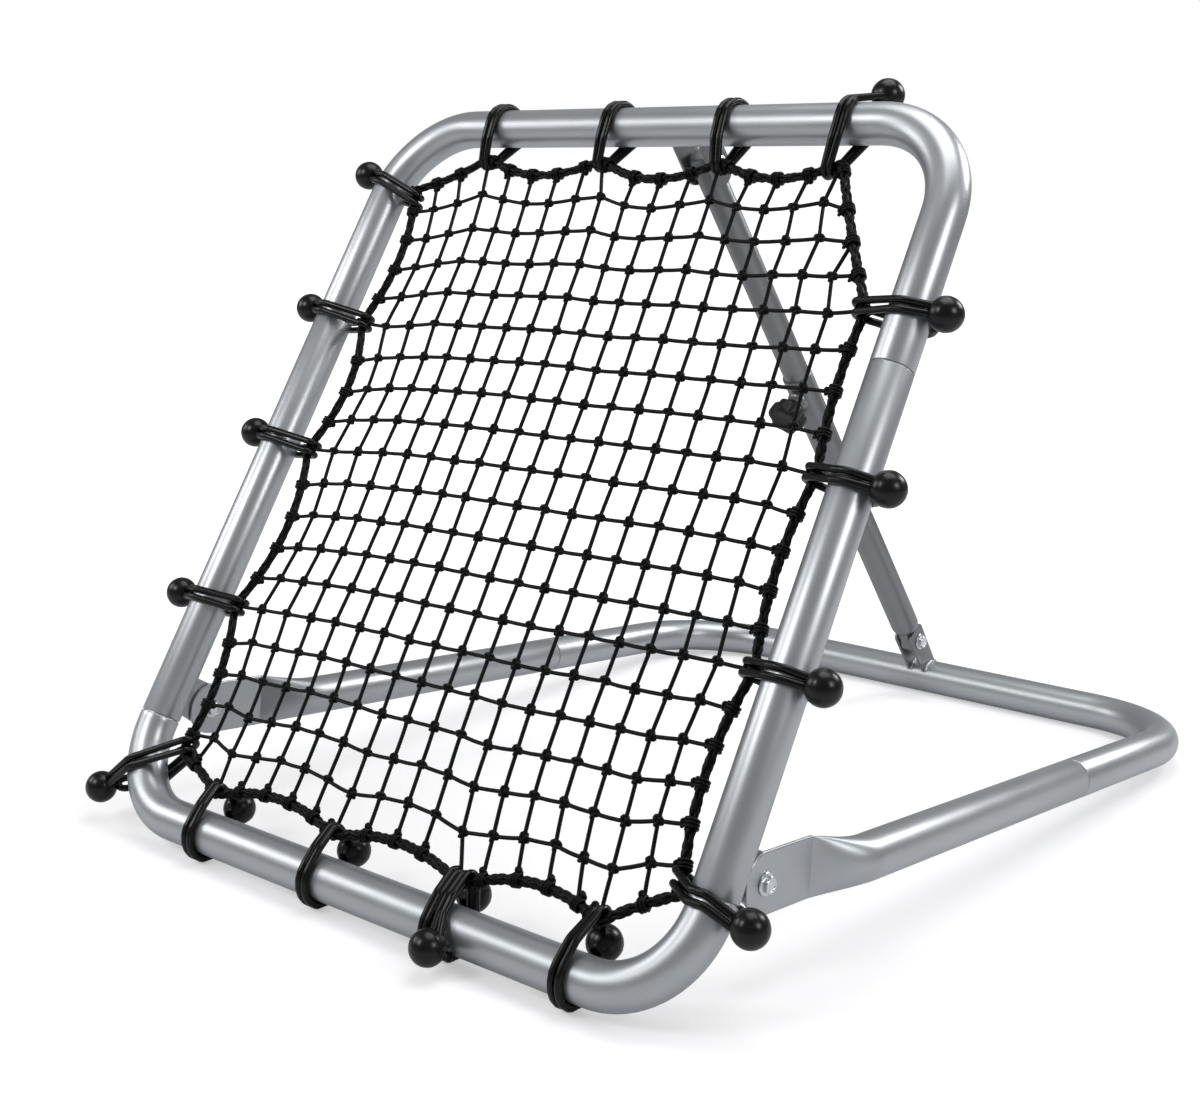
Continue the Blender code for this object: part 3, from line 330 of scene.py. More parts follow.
class Skin:
    """Rings of points gathered into one mesh, with lengths round and along it as its map."""

    def __init__(self):
        self.points = []
        self.faces = []
        self.places = []

    def add_rings(self, rings, caps=True):
        """Joins rings of equally many points, each ring square to the way on."""
        first = len(self.points)
        sides = len(rings[0])
        girth = sum((rings[0][k] - rings[0][k - 1]).length for k in range(sides))
        middles = [(ring[0] + ring[sides // 2]) / 2.0 for ring in rings]
        along = [0.0]
        for middle, following in zip(middles, middles[1:]):
            along.append(along[-1] + (following - middle).length)
        for ring in rings:
            self.points.extend(ring)
        for row in range(len(rings) - 1):
            low = first + row * sides
            for k in range(sides):
                step = (k + 1) % sides
                self.faces.append((low + k, low + step, low + sides + step, low + sides + k))
                start = girth * k / sides
                end = girth * (k + 1) / sides
                self.places += [
                    (start, along[row]),
                    (end, along[row]),
                    (end, along[row + 1]),
                    (start, along[row + 1]),
                ]
        if caps:
            last = first + (len(rings) - 1) * sides
            self.faces.append(tuple(first + k for k in reversed(range(sides))))
            self.faces.append(tuple(last + k for k in range(sides)))
            self.places += [(0.0, along[0])] * sides + [(0.0, along[-1])] * sides

    def add_cord(self, path, radius, sides, side=None, caps=True):
        self.add_rings(carried_rings(path, radius, sides, side), caps)

    def add_turned(self, centre, axis, profile, sides, side):
        self.add_rings(turned_rings(centre, axis, profile, sides, side))

    def mesh(self, name):
        mesh = bpy.data.meshes.new(name)
        mesh.from_pydata([tuple(point) for point in self.points], [], self.faces)
        layer = mesh.uv_layers.new(name="lengths")
        layer.data.foreach_set("uv", [value for place in self.places for value in place])
        return mesh


def carried_rings(path, radius, sides, side=None):
    """Rings square to a path, carried along it without twist; the radius is one value or one a
    point."""
    radii = radius if isinstance(radius, (list, tuple)) else [radius] * len(path)
    last = len(path) - 1
    turn = [2.0 * math.pi * k / sides for k in range(sides)]
    waves = [(math.cos(angle), math.sin(angle)) for angle in turn]
    normal = side
    rings = []
    for k, point in enumerate(path):
        tangent = (path[min(k + 1, last)] - path[max(k - 1, 0)]).normalized()
        if normal is None:
            normal = tangent.orthogonal()
        normal = (normal - tangent * normal.dot(tangent)).normalized()
        across = tangent.cross(normal) * radii[k]
        out = normal * radii[k]
        rings.append([point + out * c + across * s for c, s in waves])
    return rings


def turned_rings(centre, axis, profile, sides, side=None):
    """Rings of a turned form; its profile pairs a distance along the axis with a radius, which may
    depend on the angle."""
    axis = axis.normalized()
    normal = side or axis.orthogonal()
    normal = (normal - axis * normal.dot(axis)).normalized()
    across = axis.cross(normal)
    rings = []
    for along, radius in profile:
        middle = centre + axis * along
        ring = []
        for k in range(sides):
            angle = 2.0 * math.pi * k / sides
            reach = radius(angle) if callable(radius) else radius
            ring.append(middle + (normal * math.cos(angle) + across * math.sin(angle)) * reach)
        rings.append(ring)
    return rings


def arc(centre, first, second, angle, steps):
    """Points from centre + first, turning towards second."""
    return [
        centre + first * math.cos(angle * k / steps) + second * math.sin(angle * k / steps)
        for k in range(steps + 1)
    ]


def bent_u(start, corner_a, corner_b, end, bend, steps=20):
    """Path through two square corners, each rounded to the bend radius."""
    run_in = (corner_a - start).normalized()
    across = (corner_b - corner_a).normalized()
    run_out = (end - corner_b).normalized()
    first = corner_a - run_in * bend + across * bend
    second = corner_b - across * bend + run_out * bend
    quarter = math.pi / 2.0
    return (
        [start]
        + arc(first, -across * bend, run_in * bend, quarter, steps)
        + arc(second, -run_out * bend, across * bend, quarter, steps)
        + [end]
    )


def finely_divided(path, longest):
    """The same path with no stretch longer than given."""
    result = [path[0]]
    for point, following in zip(path, path[1:]):
        steps = max(1, math.ceil((following - point).length / longest))
        result += [point.lerp(following, k / steps) for k in range(1, steps + 1)]
    return result


def corner_cut(path, passes):
    """Path whose corners are rounded by cutting them, its ends kept."""
    for _ in range(passes):
        cut = [path[0]]
        for point, following in zip(path, path[1:]):
            cut += [point.lerp(following, 0.25), point.lerp(following, 0.75)]
        path = cut + [path[-1]]
    return path


def mesh_from(bm, name):
    """Mesh of a bmesh, its faces turned outwards."""
    bmesh.ops.recalc_face_normals(bm, faces=bm.faces)
    mesh = bpy.data.meshes.new(name)
    bm.to_mesh(mesh)
    bm.free()
    return mesh


def add_plate(bm, outline, thickness, place, rounding):
    """Adds a flat plate with rounded edges from a 2D outline."""
    half = Vector((0.0, 0.0, thickness / 2.0))
    low = [bm.verts.new(place @ (Vector((p.x, p.y, 0.0)) - half)) for p in outline]
    high = [bm.verts.new(place @ (Vector((p.x, p.y, 0.0)) + half)) for p in outline]
    faces = [bm.faces.new(list(reversed(low))), bm.faces.new(high)]
    for k in range(len(outline)):
        step = (k + 1) % len(outline)
        bm.faces.new((low[k], low[step], high[step], high[k]))
    rims = [edge for face in faces for edge in face.edges]
    bmesh.ops.bevel(bm, geom=rims, offset=rounding, segments=2, profile=0.5, affect="EDGES")


def make_piece(name, mesh, material, body, nodes=(), sharp=38.0):
    """Adds a finished piece that rides on a body and stands for the solids named; edges over the
    sharp angle in degrees stay sharp."""
    mesh.shade_smooth()
    mesh.set_sharp_from_angle(angle=math.radians(sharp))
    shape = bpy.data.objects.new(name, mesh)
    bpy.context.scene.collection.objects.link(shape)
    shape.data.materials.append(material)
    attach(shape, body)
    if nodes:
        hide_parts(*nodes)


# Finishes


def add_node(tree, kind, values=None, links=None, **settings):
    """Adds a shader node with its settings, socket values and links."""
    node = tree.nodes.new("ShaderNode" + kind)
    for name, value in settings.items():
        setattr(node, name, value)
    for socket, value in (values or {}).items():
        node.inputs[socket].default_value = value
    for socket, source in (links or {}).items():
        tree.links.new(source, node.inputs[socket])
    return node


def new_finish(name):
    """An empty material and its shader."""
    material = bpy.data.materials.new(name)
    material.use_nodes = True
    tree = material.node_tree
    return material, tree, tree.nodes["Principled BSDF"]


def set_shader(shader, colour=None, **values):
    """Sets even values on the shader's own sockets."""
    if colour:
        shader.inputs["Base Color"].default_value = (*colour, 1.0)
    for socket, value in values.items():
        shader.inputs[socket.replace("_", " ")].default_value = value


def braid_height(tree, across_mm, along_mm):
    """Height of a plain braid from the map's lengths: threads that lean opposite ways."""
    lengths = add_node(tree, "TexCoord").outputs["UV"]
    split = add_node(tree, "SeparateXYZ", links={"Vector": lengths}).outputs
    phases = []
    for axis, repeat_mm in (("X", across_mm), ("Y", along_mm)):
        values = {1: 2.0 * math.pi * 1000.0 / repeat_mm}
        phase = add_node(tree, "Math", values, {0: split[axis]}, operation="MULTIPLY")
        phases.append(phase.outputs[0])
    waves = []
    for operation in ("ADD", "SUBTRACT"):
        phase = add_node(tree, "Math", links=dict(enumerate(phases)), operation=operation)
        wave = add_node(tree, "Math", links={0: phase.outputs[0]}, operation="SINE")
        waves.append(wave.outputs[0])
    return add_node(tree, "Math", links=dict(enumerate(waves)), operation="MULTIPLY").outputs[0]


def add_layer(tree, shader, grain=None, braid=None, colours=None, rough=None, bump=None):
    """Adds one pattern of a finish: grains of a width in mm and a detail, or a braid that repeats
    after so many mm across and along. It shades between two colours, varies the roughness between
    two values, or lifts the surface by a strength and a depth."""
    if grain:
        place = add_node(tree, "TexCoord").outputs["Object"]
        values = {"Scale": 1000.0 / grain[0], "Detail": grain[1]}
        pattern = add_node(tree, "TexNoise", values, {"Vector": place}).outputs["Fac"]
    else:
        pattern = braid_height(tree, *braid)
    if colours:
        values = {"A": (*colours[0], 1.0), "B": (*colours[1], 1.0)}
        mix = add_node(tree, "Mix", values, {"Factor": pattern}, data_type="RGBA")
        tree.links.new(mix.outputs["Result"], shader.inputs["Base Color"])
    if rough:
        values = {"From Min": 0.3, "From Max": 0.7, "To Min": rough[0], "To Max": rough[1]}
        spread = add_node(tree, "MapRange", values, {"Value": pattern})
        tree.links.new(spread.outputs["Result"], shader.inputs["Roughness"])
    if bump:
        values = {"Strength": bump[0], "Distance": bump[1]}
        lift = add_node(tree, "Bump", values, {"Height": pattern})
        tree.links.new(lift.outputs["Normal"], shader.inputs["Normal"])


def shaded(colour, share):
    """The colour made darker or lighter by a share of its own."""
    return tuple(min(1.0, channel * share) for channel in colour)


def powder_coated_steel(name, colour):
    # Steel tube under baked polyester powder with aluminium flake: a satin sheen that spreads
    # highlights wide, slow clouds of gloss, a faint orange peel of 2 mm and a fine sparkle. The
    # flake is 0.05 mm and is drawn as 0.9 mm to show.
    material, tree, shader = new_finish(name)
    add_layer(tree, shader, (0.9, 2.0), colours=(shaded(colour, 0.93), shaded(colour, 1.06)))
    add_layer(tree, shader, (60.0, 3.0), rough=(0.34, 0.40))
    add_layer(tree, shader, (2.2, 1.0), bump=(0.06, 0.0004))
    set_shader(shader, Metallic=0.82)
    return material


def zinc_plated_steel(name):
    # Cold-headed steel with bright zinc: a cool white metal with soft blotches of about 3 mm from
    # the plating bath.
    material, tree, shader = new_finish(name)
    add_layer(tree, shader, (3.0, 4.0), rough=(0.20, 0.34), bump=(0.10, 0.0003))
    set_shader(shader, linear("D3D6DA"), Metallic=1.0)
    return material


def weld_steel(name):
    # Arc-welded bead under a thin coat: rippled, a little brighter than the paint round it.
    material, tree, shader = new_finish(name)
    add_layer(tree, shader, (1.6, 3.0), bump=(0.35, 0.0006))
    set_shader(shader, linear("B4B6B9"), Metallic=0.85, Roughness=0.33)
    return material


def moulded_abs(name, colour):
    # Injection-moulded ABS from a lightly brushed tool: a deep black gloss with small soft
    # highlights that drift a little over some 5 mm.
    material, tree, shader = new_finish(name)
    add_layer(tree, shader, (5.0, 2.0), rough=(0.25, 0.31))
    set_shader(shader, colour, IOR=1.53, Specular_IOR_Level=0.30)
    return material


def textured_nylon(name):
    # Glass-filled nylon from a spark-eroded tool: black with an even fine grain, 0.4 mm drawn as
    # 0.8 mm.
    material, tree, shader = new_finish(name)
    add_layer(tree, shader, (0.8, 2.0), rough=(0.36, 0.5), bump=(0.25, 0.0003))
    set_shader(shader, linear("0C0D0E"), IOR=1.53, Specular_IOR_Level=0.3)
    return material


def sleeved_elastic(name, colour):
    # Rubber strands in a tight braided polyester sleeve: a smooth black with a long soft highlight
    # and a faint weave, whose grooves are darkened with painted shade. The sleeve's threads are 0.4
    # mm apart and are drawn 1.3 mm apart to show.
    material, tree, shader = new_finish(name)
    # The darker tone falls in the braid's low parts: painted shade in the grooves
    groove_shade_tones = (shaded(colour, 0.7), colour)
    add_layer(tree, shader, braid=(2.6, 2.6), colours=groove_shade_tones, bump=(0.18, 0.00025))
    set_shader(shader, Roughness=0.24, IOR=1.5, Specular_IOR_Level=0.28)
    return material


def polyethylene_twine(name, colour):
    # Braided polyethylene twine: black, dull, with thread ridges 0.5 mm apart drawn 1.5 to 2 mm
    # apart, and painted shade darkening the grooves between them.
    material, tree, shader = new_finish(name)
    # The darker tone falls in the braid's low parts: painted shade in the grooves
    groove_shade_tones = (shaded(colour, 0.55), colour)
    add_layer(tree, shader, braid=(4.4, 3.0), colours=groove_shade_tones, bump=(0.25, 0.0003))
    set_shader(shader, Roughness=0.36, IOR=1.51, Specular_IOR_Level=0.14)
    return material


def finish(name):
    """One of this part's finishes, made when it is first asked for."""
    ready = bpy.data.materials.get(name)
    if ready:
        return ready
    scene = bpy.context.scene
    makers = {
        "powder_coated_frame": (powder_coated_steel, scene.rebounder_tubes.paint),
        "powder_coated_strut": (powder_coated_steel, scene.rebounder_tubes.strut_paint),
        "zinc_plated_steel": (zinc_plated_steel,),
        "weld_steel": (weld_steel,),
        "moulded_abs": (moulded_abs, scene.rebounder_bungees.ball_colour),
        "textured_nylon": (textured_nylon,),
        "sleeved_elastic": (sleeved_elastic, scene.rebounder_bungees.cord_colour),
        "polyethylene_twine": (polyethylene_twine, scene.rebounder_net.colour),
    }
    maker, *colours = makers[name]
    return maker(name, *(tuple(colour) for colour in colours))


# Tubes


def tube_end(kind):
    """How far each ring of a tube's end lies past it, and how much smaller than the tube it is."""
    settings = bpy.context.scene.rebounder_tubes
    cut = settings.edge_rounding
    gap = settings.seam_groove if kind == "spigot" else 0.0
    rings = [(-gap - cut, 0.0), (-gap - cut * 0.3, cut * 0.3), (-gap, cut)]
    if kind == "spigot":
        rings += [(-gap, cut * SPIGOT_STEP), (SPIGOT_LENGTH, cut * SPIGOT_STEP)]
    return rings


def add_tube(skin, path, side, kind):
    """Adds a round tube. Its ends are a rounded "socket" or a "spigot" that runs on into one."""
    rings = tube_end(kind)
    before = (path[0] - path[1]).normalized()
    behind = (path[-1] - path[-2]).normalized()
    start = [path[0] + before * past for past, _ in reversed(rings)]
    end = [path[-1] + behind * past for past, _ in rings]
    radii = [TUBE_RADIUS - less for _, less in rings]
    middle = path[1:-1]
    radii = radii[::-1] + [TUBE_RADIUS] * len(middle) + radii
    skin.add_rings(carried_rings(start + middle + end, radii, ROUND_SIDES, side))


def make_painted(name, skin, body, sharp=60.0):
    """Adds the painted piece that stands for a tube of the frame or base."""
    paint = finish("powder_coated_frame")
    make_piece("painted_" + name, skin.mesh(name), paint, body, [name], sharp)


def frame_u(seam, crossbar, bend):
    """Path of a bend of the net frame, from its left seam round to its right one."""
    left = [on_frame(-HALF_WIDTH, v) for v in (seam, crossbar)]
    right = [on_frame(HALF_WIDTH, v) for v in (crossbar, seam)]
    return bent_u(*left, *right, bend)


def build_frame_tubes():
    """Top and bottom bends and the two side tubes of the net frame."""
    tubes = {
        "top_tube": (frame_u(UPPER_SEAM, FRAME_LENGTH, FRAME_BEND), "socket"),
        "bottom_tube": (frame_u(LOWER_SEAM, 0.0, FOOT_BEND), "socket"),
    }
    for side, u in SIDES:
        path = [on_frame(u, v) for v in (LOWER_SEAM, 0.3, UPPER_SEAM)]
        tubes[side + "_side_tube"] = (path, "spigot")
    for name, (path, kind) in tubes.items():
        skin = Skin()
        add_tube(skin, path, FRONT, kind)
        make_painted(name, skin, "frame")


def base_slope():
    """Direction from the rear crossbar's axis to the hinge pivots, its square and the distance."""
    run = BASE_DEPTH - PIVOT_DEPTH
    rise = PIVOT_HEIGHT - TUBE_RADIUS
    forward = Vector((0.0, -run, rise)).normalized()
    upward = Vector((0.0, rise, run)).normalized()
    return forward, upward, math.hypot(run, rise)


def arm_rings(x):
    """Rings of a base arm from its rounded flat nose to the rear seam."""
    forward, upward, length = base_slope()
    pivot = world(x, PIVOT_DEPTH, PIVOT_HEIGHT)
    flat_x = HINGE_PLATE / 2.0 + TOUCH_GAP + ARM_FLAT / 2.0
    nose = ARM_FLAT_HEIGHT / 2.0
    half = ARM_FLAT / 2.0
    rings = []

    def add_ring(along, roundness, half_height=nose, half_width=half, radius=TUBE_RADIUS):
        """Adds a ring between the flat blade, roundness 0, and the round tube, 1."""
        shift = flat_x + (BASE_SHIFT - flat_x) * roundness
        ring = []
        for k in range(ROUND_SIDES):
            angle = math.pi / ROUND_SIDES * (2 * k + 1)
            rise = math.sin(angle) / math.cos(math.pi / ROUND_SIDES)
            edge = max(0.0, (abs(rise) - BLADE_FLAT) / (1.0 - BLADE_FLAT))
            blade_x = math.copysign(half_width - BLADE_ROUNDING * edge**2, math.cos(angle))
            blade = Vector((blade_x, 0.0, half_height * rise))
            tube = Vector((radius * math.cos(angle), 0.0, radius * math.sin(angle)))
            place = blade.lerp(tube, roundness)
            ring.append(pivot - forward * along + ACROSS * (place.x + shift) + upward * place.z)
        rings.append(ring[::-1])

    for degrees in (86.0, 78.0, 68.0, 58.0, 48.0, 38.0, 28.0, 18.0, 9.0, 0.0):
        angle = math.radians(degrees)
        thin = 0.45 if degrees > 80.0 else 1.0
        add_ring(-nose * math.sin(angle), 0.0, nose * math.cos(angle), half * thin)
    add_ring(ARM_FLAT_LENGTH - 0.0015, 0.0)
    for k in range(PRESS_STEPS + 1):
        share = k / PRESS_STEPS
        along = ARM_FLAT_LENGTH + ARM_PRESS_LENGTH * share
        add_ring(along, math.sin(math.pi / 2.0 * share))
    for past, less in tube_end("spigot"):
        add_ring(length - BASE_SEAM + past, 1.0, radius=TUBE_RADIUS - less)
    return rings


def build_base():
    """Rear U tube and the two arms with their pressed-flat front ends."""
    forward, upward, _ = base_slope()
    left, right = (world(BASE_SHIFT + x, BASE_DEPTH, TUBE_RADIUS) for _, x in SIDES)
    reach = forward * BASE_SEAM
    skin = Skin()
    path = bent_u(left + reach, left, right, right + reach, BASE_BEND, 28)
    add_tube(skin, path, upward, "socket")
    make_painted("rear_tube", skin, "base")
    for side, x in SIDES:
        skin = Skin()
        skin.add_rings(arm_rings(x))
        make_painted(side + "_arm", skin, "base", 30.0)


# Hinges and fasteners


def polar(radius, angle):
    return Vector((radius * math.cos(angle), radius * math.sin(angle)))


def rim_between(centre, radius, start, end, steps):
    """Points round a circle from the tangent point seen from start to the one seen from end."""
    to_start = start - centre
    to_end = end - centre
    first = math.atan2(to_start.y, to_start.x) - math.acos(radius / to_start.length)
    last = math.atan2(to_end.y, to_end.x) + math.acos(radius / to_end.length)
    while last > first:
        last -= 2.0 * math.pi
    return [centre + polar(radius, first + (last - first) * k / steps) for k in range(steps + 1)]


def weld_bead(skin, path, radius, seed):
    """Adds a bead of overlapping ripples along a path, tapering at its ends."""
    path = finely_divided(path, BEAD_STEP)
    count = len(path)
    radii = []
    for k in range(count):
        taper = min(1.0, 0.35 + min(k, count - 1 - k) / max(1.0, count * 0.12))
        ripple = 0.88 + 0.12 * abs(math.sin(k * 0.75))
        swell = 1.0 + 0.18 * noise(Vector((k * 0.11, seed, 0.0)))
        radii.append(radius * ripple * swell * taper)
    skin.add_cord(path, radii, 12)


def build_hinges():
    """Hinge plates welded behind the side tubes, their beads and the bolts through the arms."""
    paint = finish("powder_coated_frame")
    offset = world(0.0, PIVOT_DEPTH, PIVOT_HEIGHT) - on_frame(0.0, 0.0)
    pivot = Vector((offset.dot(SLOPE), offset.dot(FRONT)))
    weld = -(TUBE_RADIUS + 0.0001)
    low = Vector((pivot.x - HINGE_WELD_BELOW, weld))
    high = Vector((pivot.x + HINGE_WELD_ABOVE, weld))
    outline = [low, high] + rim_between(pivot, HINGE_RIM, high, low, 28)
    turn = Matrix((SLOPE, FRONT, ACROSS)).transposed().to_4x4()
    seat = HINGE_PLATE / 2.0 + ARM_FLAT + 2.0 * TOUCH_GAP
    back = -HINGE_PLATE / 2.0 - TOUCH_GAP
    for side, x in SIDES:
        name = side + "_hinge_plate"
        bm = bmesh.new()
        place = Matrix.Translation(on_frame(x, 0.0)) @ turn
        add_plate(bm, outline, HINGE_PLATE, place, 0.0006)
        plate = mesh_from(bm, name)
        make_piece("painted_" + name, plate, paint, "frame", [name])
        skin = Skin()
        for facing in (-1.0, 1.0):
            edge = facing * (HINGE_PLATE / 2.0 + 0.0010)
            depth = -math.sqrt(TUBE_RADIUS**2 - edge**2) - 0.0004
            ends = [on_frame(x + edge, v, depth) for v in (low.x, high.x)]
            weld_bead(skin, ends, 0.0021, x + facing)
        make_piece(side + "_hinge_weld", skin.mesh(side + "_hinge_weld"), paint, "frame")
        add_fasteners(side + "_hinge", world(x, PIVOT_DEPTH, PIVOT_HEIGHT), seat, back, "frame")


def hexagon(flat, limit=1.0):
    """Radius of a hexagon over angle, cut by a circle where limit asks."""

    def radius(angle):
        corner = (angle + math.pi / 6.0) % (math.pi / 3.0) - math.pi / 6.0
        return min(flat / math.cos(corner), limit)

    return radius


def add_fasteners(prefix, centre, seat, back, body):
    """Flanged hex bolt with its head at +X, and the flanged nut with the bolt's tip at -X."""
    zinc = finish("zinc_plated_steel")
    flanged = [
        (0.0, 0.0093),
        (0.0008, 0.0094),
        (0.0013, 0.0090),
        (0.0017, 0.0078),
        (0.0019, hexagon(0.0063)),
        (0.0046, hexagon(0.0064)),
        (0.0052, hexagon(0.0064, 0.0068)),
        (0.0056, hexagon(0.0061, 0.0061)),
    ]
    skin = Skin()
    dished = [(0.0055, 0.0046), (0.0050, 0.0041), (0.0049, 0.0012)]
    skin.add_turned(centre + ACROSS * seat, ACROSS, flanged + dished, 48, SLOPE)
    name = prefix + "_bolt"
    make_piece(name + "_head", skin.mesh(name), zinc, body, [name], 32.0)
    skin = Skin()
    foot = centre + ACROSS * back
    bored = [(0.0055, 0.0048), (0.0050, 0.0043)]
    skin.add_turned(foot, -ACROSS, flanged + bored, 48, SLOPE)
    thread = [(0.0048 + k * THREAD_STEP, 0.0040 if k % 2 else 0.0036) for k in range(10)]
    skin.add_turned(foot, -ACROSS, thread + [(0.0090, 0.0031)], 32, SLOPE)
    name = prefix + "_nut"
    make_piece(prefix + "_lock_nut", skin.mesh(name), zinc, body, [name], 32.0)


# Strut


def strut_frame():
    """Foot pivot, head pivot, direction up the strut and its square to the rear."""
    height = TUBE_RADIUS + FOOT_ABOVE_BAR
    foot = world(BASE_SHIFT, BASE_DEPTH - FOOT_BEFORE_BAR, height)
    head = on_frame(BASE_SHIFT, FRAME_LENGTH)
    head += Vector((0.0, HEAD_BEHIND_TUBE, -HEAD_BELOW_TUBE))
    rise = (head - foot).normalized()
    back = Vector((0.0, rise.z, -rise.y))
    return foot, head, rise, back


def neck_radius(angle):
    """Radius of the foot's rounded blade, as wide as its eye fore and aft."""
    across = abs(math.cos(angle)) / FOOT_EYE_HALF
    deep = abs(math.sin(angle)) / 0.0128
    return 1.0 / (across**4 + deep**4) ** 0.25


def build_strut_tubes():
    """Outer tube with its pinched foot, eye and clamp boss, and the inner tube."""
    paint = finish("powder_coated_strut")
    foot, head, rise, back = strut_frame()

    skin = Skin()
    dome_end = STRUT_START + 0.008
    dome_depth = 0.011
    profile = [(dome_end - dome_depth, 0.004)]
    for degrees in (20.0, 40.0, 60.0, 80.0):
        angle = math.radians(degrees)
        radius = STRUT_RADIUS * math.sin(angle) ** 0.6
        profile.append((dome_end - dome_depth * math.cos(angle), radius))
    bore = INNER_RADIUS + TOUCH_GAP
    profile += [
        (STRUT_START + 0.012, STRUT_RADIUS),
        (STRUT_END - 0.0008, STRUT_RADIUS),
        (STRUT_END - 0.0002, STRUT_RADIUS - 0.0003),
        (STRUT_END, STRUT_RADIUS - 0.0008),
        (STRUT_END, bore),
        (STRUT_END - 0.004, bore),
    ]
    skin.add_turned(foot, rise, profile, ROUND_SIDES, ACROSS)
    eye = [(-FOOT_EYE_HALF, 0.0122), (-FOOT_EYE_HALF + 0.0006, 0.0130)]
    eye += [(-along, radius) for along, radius in reversed(eye)]
    skin.add_turned(foot, ACROSS, eye, 40, rise)
    neck = [(0.0, neck_radius), (STRUT_START + 0.006, neck_radius)]
    skin.add_turned(foot, rise, neck, 40, ACROSS)
    boss = [
        (STRUT_RADIUS - 0.002, 0.0118),
        (STRUT_RADIUS + 0.0006, 0.0112),
        (STRUT_RADIUS + 0.0018, 0.0101),
        (BOSS_END - 0.0006, 0.0100),
        (BOSS_END, 0.0094),
    ]
    skin.add_turned(foot + rise * KNOB_ALONG, -back, boss, 40, rise)
    outer = skin.mesh("strut_outer")
    nodes = ["strut_outer_tube"]
    make_piece("painted_strut_outer", outer, paint, "strut_lower", nodes)

    skin = Skin()
    crown = 0.004
    top = (head - foot).length + INNER_HEAD - crown
    profile = [(INNER_START, INNER_RADIUS), (top, INNER_RADIUS)]
    for degrees in (25.0, 50.0, 70.0, 84.0):
        angle = math.radians(degrees)
        radius = INNER_RADIUS * math.cos(angle) ** 0.5
        profile.append((top + crown * math.sin(angle), radius))
    skin.add_turned(foot, rise, profile, ROUND_SIDES, ACROSS)
    inner = skin.mesh("strut_inner")
    nodes = ["strut_inner_tube"]
    make_piece("painted_strut_inner", inner, paint, "strut_upper", nodes)


def in_bracket(pivot, point):
    """A point seen along the bolt: its distances from the pivot to the rear and up the strut."""
    _, _, rise, back = strut_frame()
    offset = point - pivot
    return Vector((offset.dot(back), offset.dot(rise)))


def bracket_plane(pivot, x):
    """Places a flat drawing of a bracket's ear at a distance to the side of the pivot."""
    _, _, rise, back = strut_frame()
    turn = Matrix((back, rise, back.cross(rise))).transposed().to_4x4()
    return Matrix.Translation(pivot + Vector((x, 0.0, 0.0))) @ turn


def tube_edge(axis, start, end, steps):
    """Edge that follows a tube's surface between two distances to the rear."""
    radius = TUBE_RADIUS + 0.0002
    side = -1.0 if axis.y > 0.0 else 1.0
    points = []
    for k in range(steps + 1):
        x = start + (end - start) * k / steps
        height = axis.y + side * math.sqrt(radius**2 - (x - axis.x) ** 2)
        points.append(Vector((x, height)))
    return points


def make_ears(name, outline, pivot, gap, body, node):
    """Adds a bracket's two ears, each a gap away from the pivot's middle."""
    bm = bmesh.new()
    for side in (-1.0, 1.0):
        add_plate(bm, outline, EAR, bracket_plane(pivot, side * (gap + EAR / 2.0)), 0.0005)
    paint = finish("powder_coated_strut")
    make_piece("painted_" + name, mesh_from(bm, name), paint, body, [node])


def add_ear_bead(skin, pivot, x, edge, lift, radius, seed):
    """Adds a weld bead along an ear's edge on its tube."""
    place = bracket_plane(pivot, x)
    weld_bead(skin, [place @ Vector((p.x, p.y + lift, 0.0)) for p in edge], radius, seed)


def build_foot_bracket():
    """Two ears on the rear tube, welded on both faces, and the bolt through the strut's eye."""
    foot, _, _, _ = strut_frame()
    axis = in_bracket(foot, world(BASE_SHIFT, BASE_DEPTH, TUBE_RADIUS))
    half = FOOT_EAR_HALF
    corner = 0.0055
    gap = FOOT_EAR_GAP / 2.0
    edge = tube_edge(axis, -half, min(half, axis.x + TUBE_RADIUS - 0.002), 8)
    outline = list(edge)
    for side, first in ((1.0, 0.0), (-1.0, math.pi / 2.0)):
        centre = Vector((side * (half - corner), FOOT_EAR_TOP - corner))
        outline += [centre + polar(corner, first + math.pi / 2.0 * k / 6) for k in range(7)]
    make_ears("foot_ears", outline, foot, gap, "base", "foot_bracket")
    skin = Skin()
    for side in (-1.0, 1.0):
        for face in (-1.0, 1.0):
            x = side * (gap + EAR / 2.0) + face * (EAR / 2.0 + 0.0009)
            add_ear_bead(skin, foot, x, edge, 0.0006, 0.0022, side + face * 3.0)
    make_piece("foot_welds", skin.mesh("foot_welds"), finish("weld_steel"), "base")
    seat = gap + EAR + TOUCH_GAP
    add_fasteners("foot", foot, seat, -seat, "base")


def build_head_bracket():
    """Two ears under the top tube, welded outside, and the bolt through the inner tube."""
    _, head, _, _ = strut_frame()
    axis = in_bracket(head, on_frame(BASE_SHIFT, FRAME_LENGTH))
    half = HEAD_EAR_HALF
    reach = TUBE_RADIUS - 0.0005
    gap = INNER_RADIUS + TOUCH_GAP
    edge = tube_edge(axis, max(-half, axis.x - reach), axis.x + reach, 12)
    low = Vector((0.0, -HEAD_EAR_DROP))
    outline = edge + [Vector((half, axis.y / 2.0))]
    outline += [low + polar(half, -math.pi * k / 20) for k in range(21)]
    make_ears("head_ears", outline, head, gap, "frame", "head_bracket")
    skin = Skin()
    for side in (-1.0, 1.0):
        x = side * (gap + EAR + 0.0009)
        add_ear_bead(skin, head, x, edge, -0.0006, 0.0020, side)
    paint = finish("powder_coated_strut")
    make_piece("head_welds", skin.mesh("head_welds"), paint, "frame")
    seat = gap + EAR + TOUCH_GAP
    add_fasteners("head", head, seat, -seat, "frame")


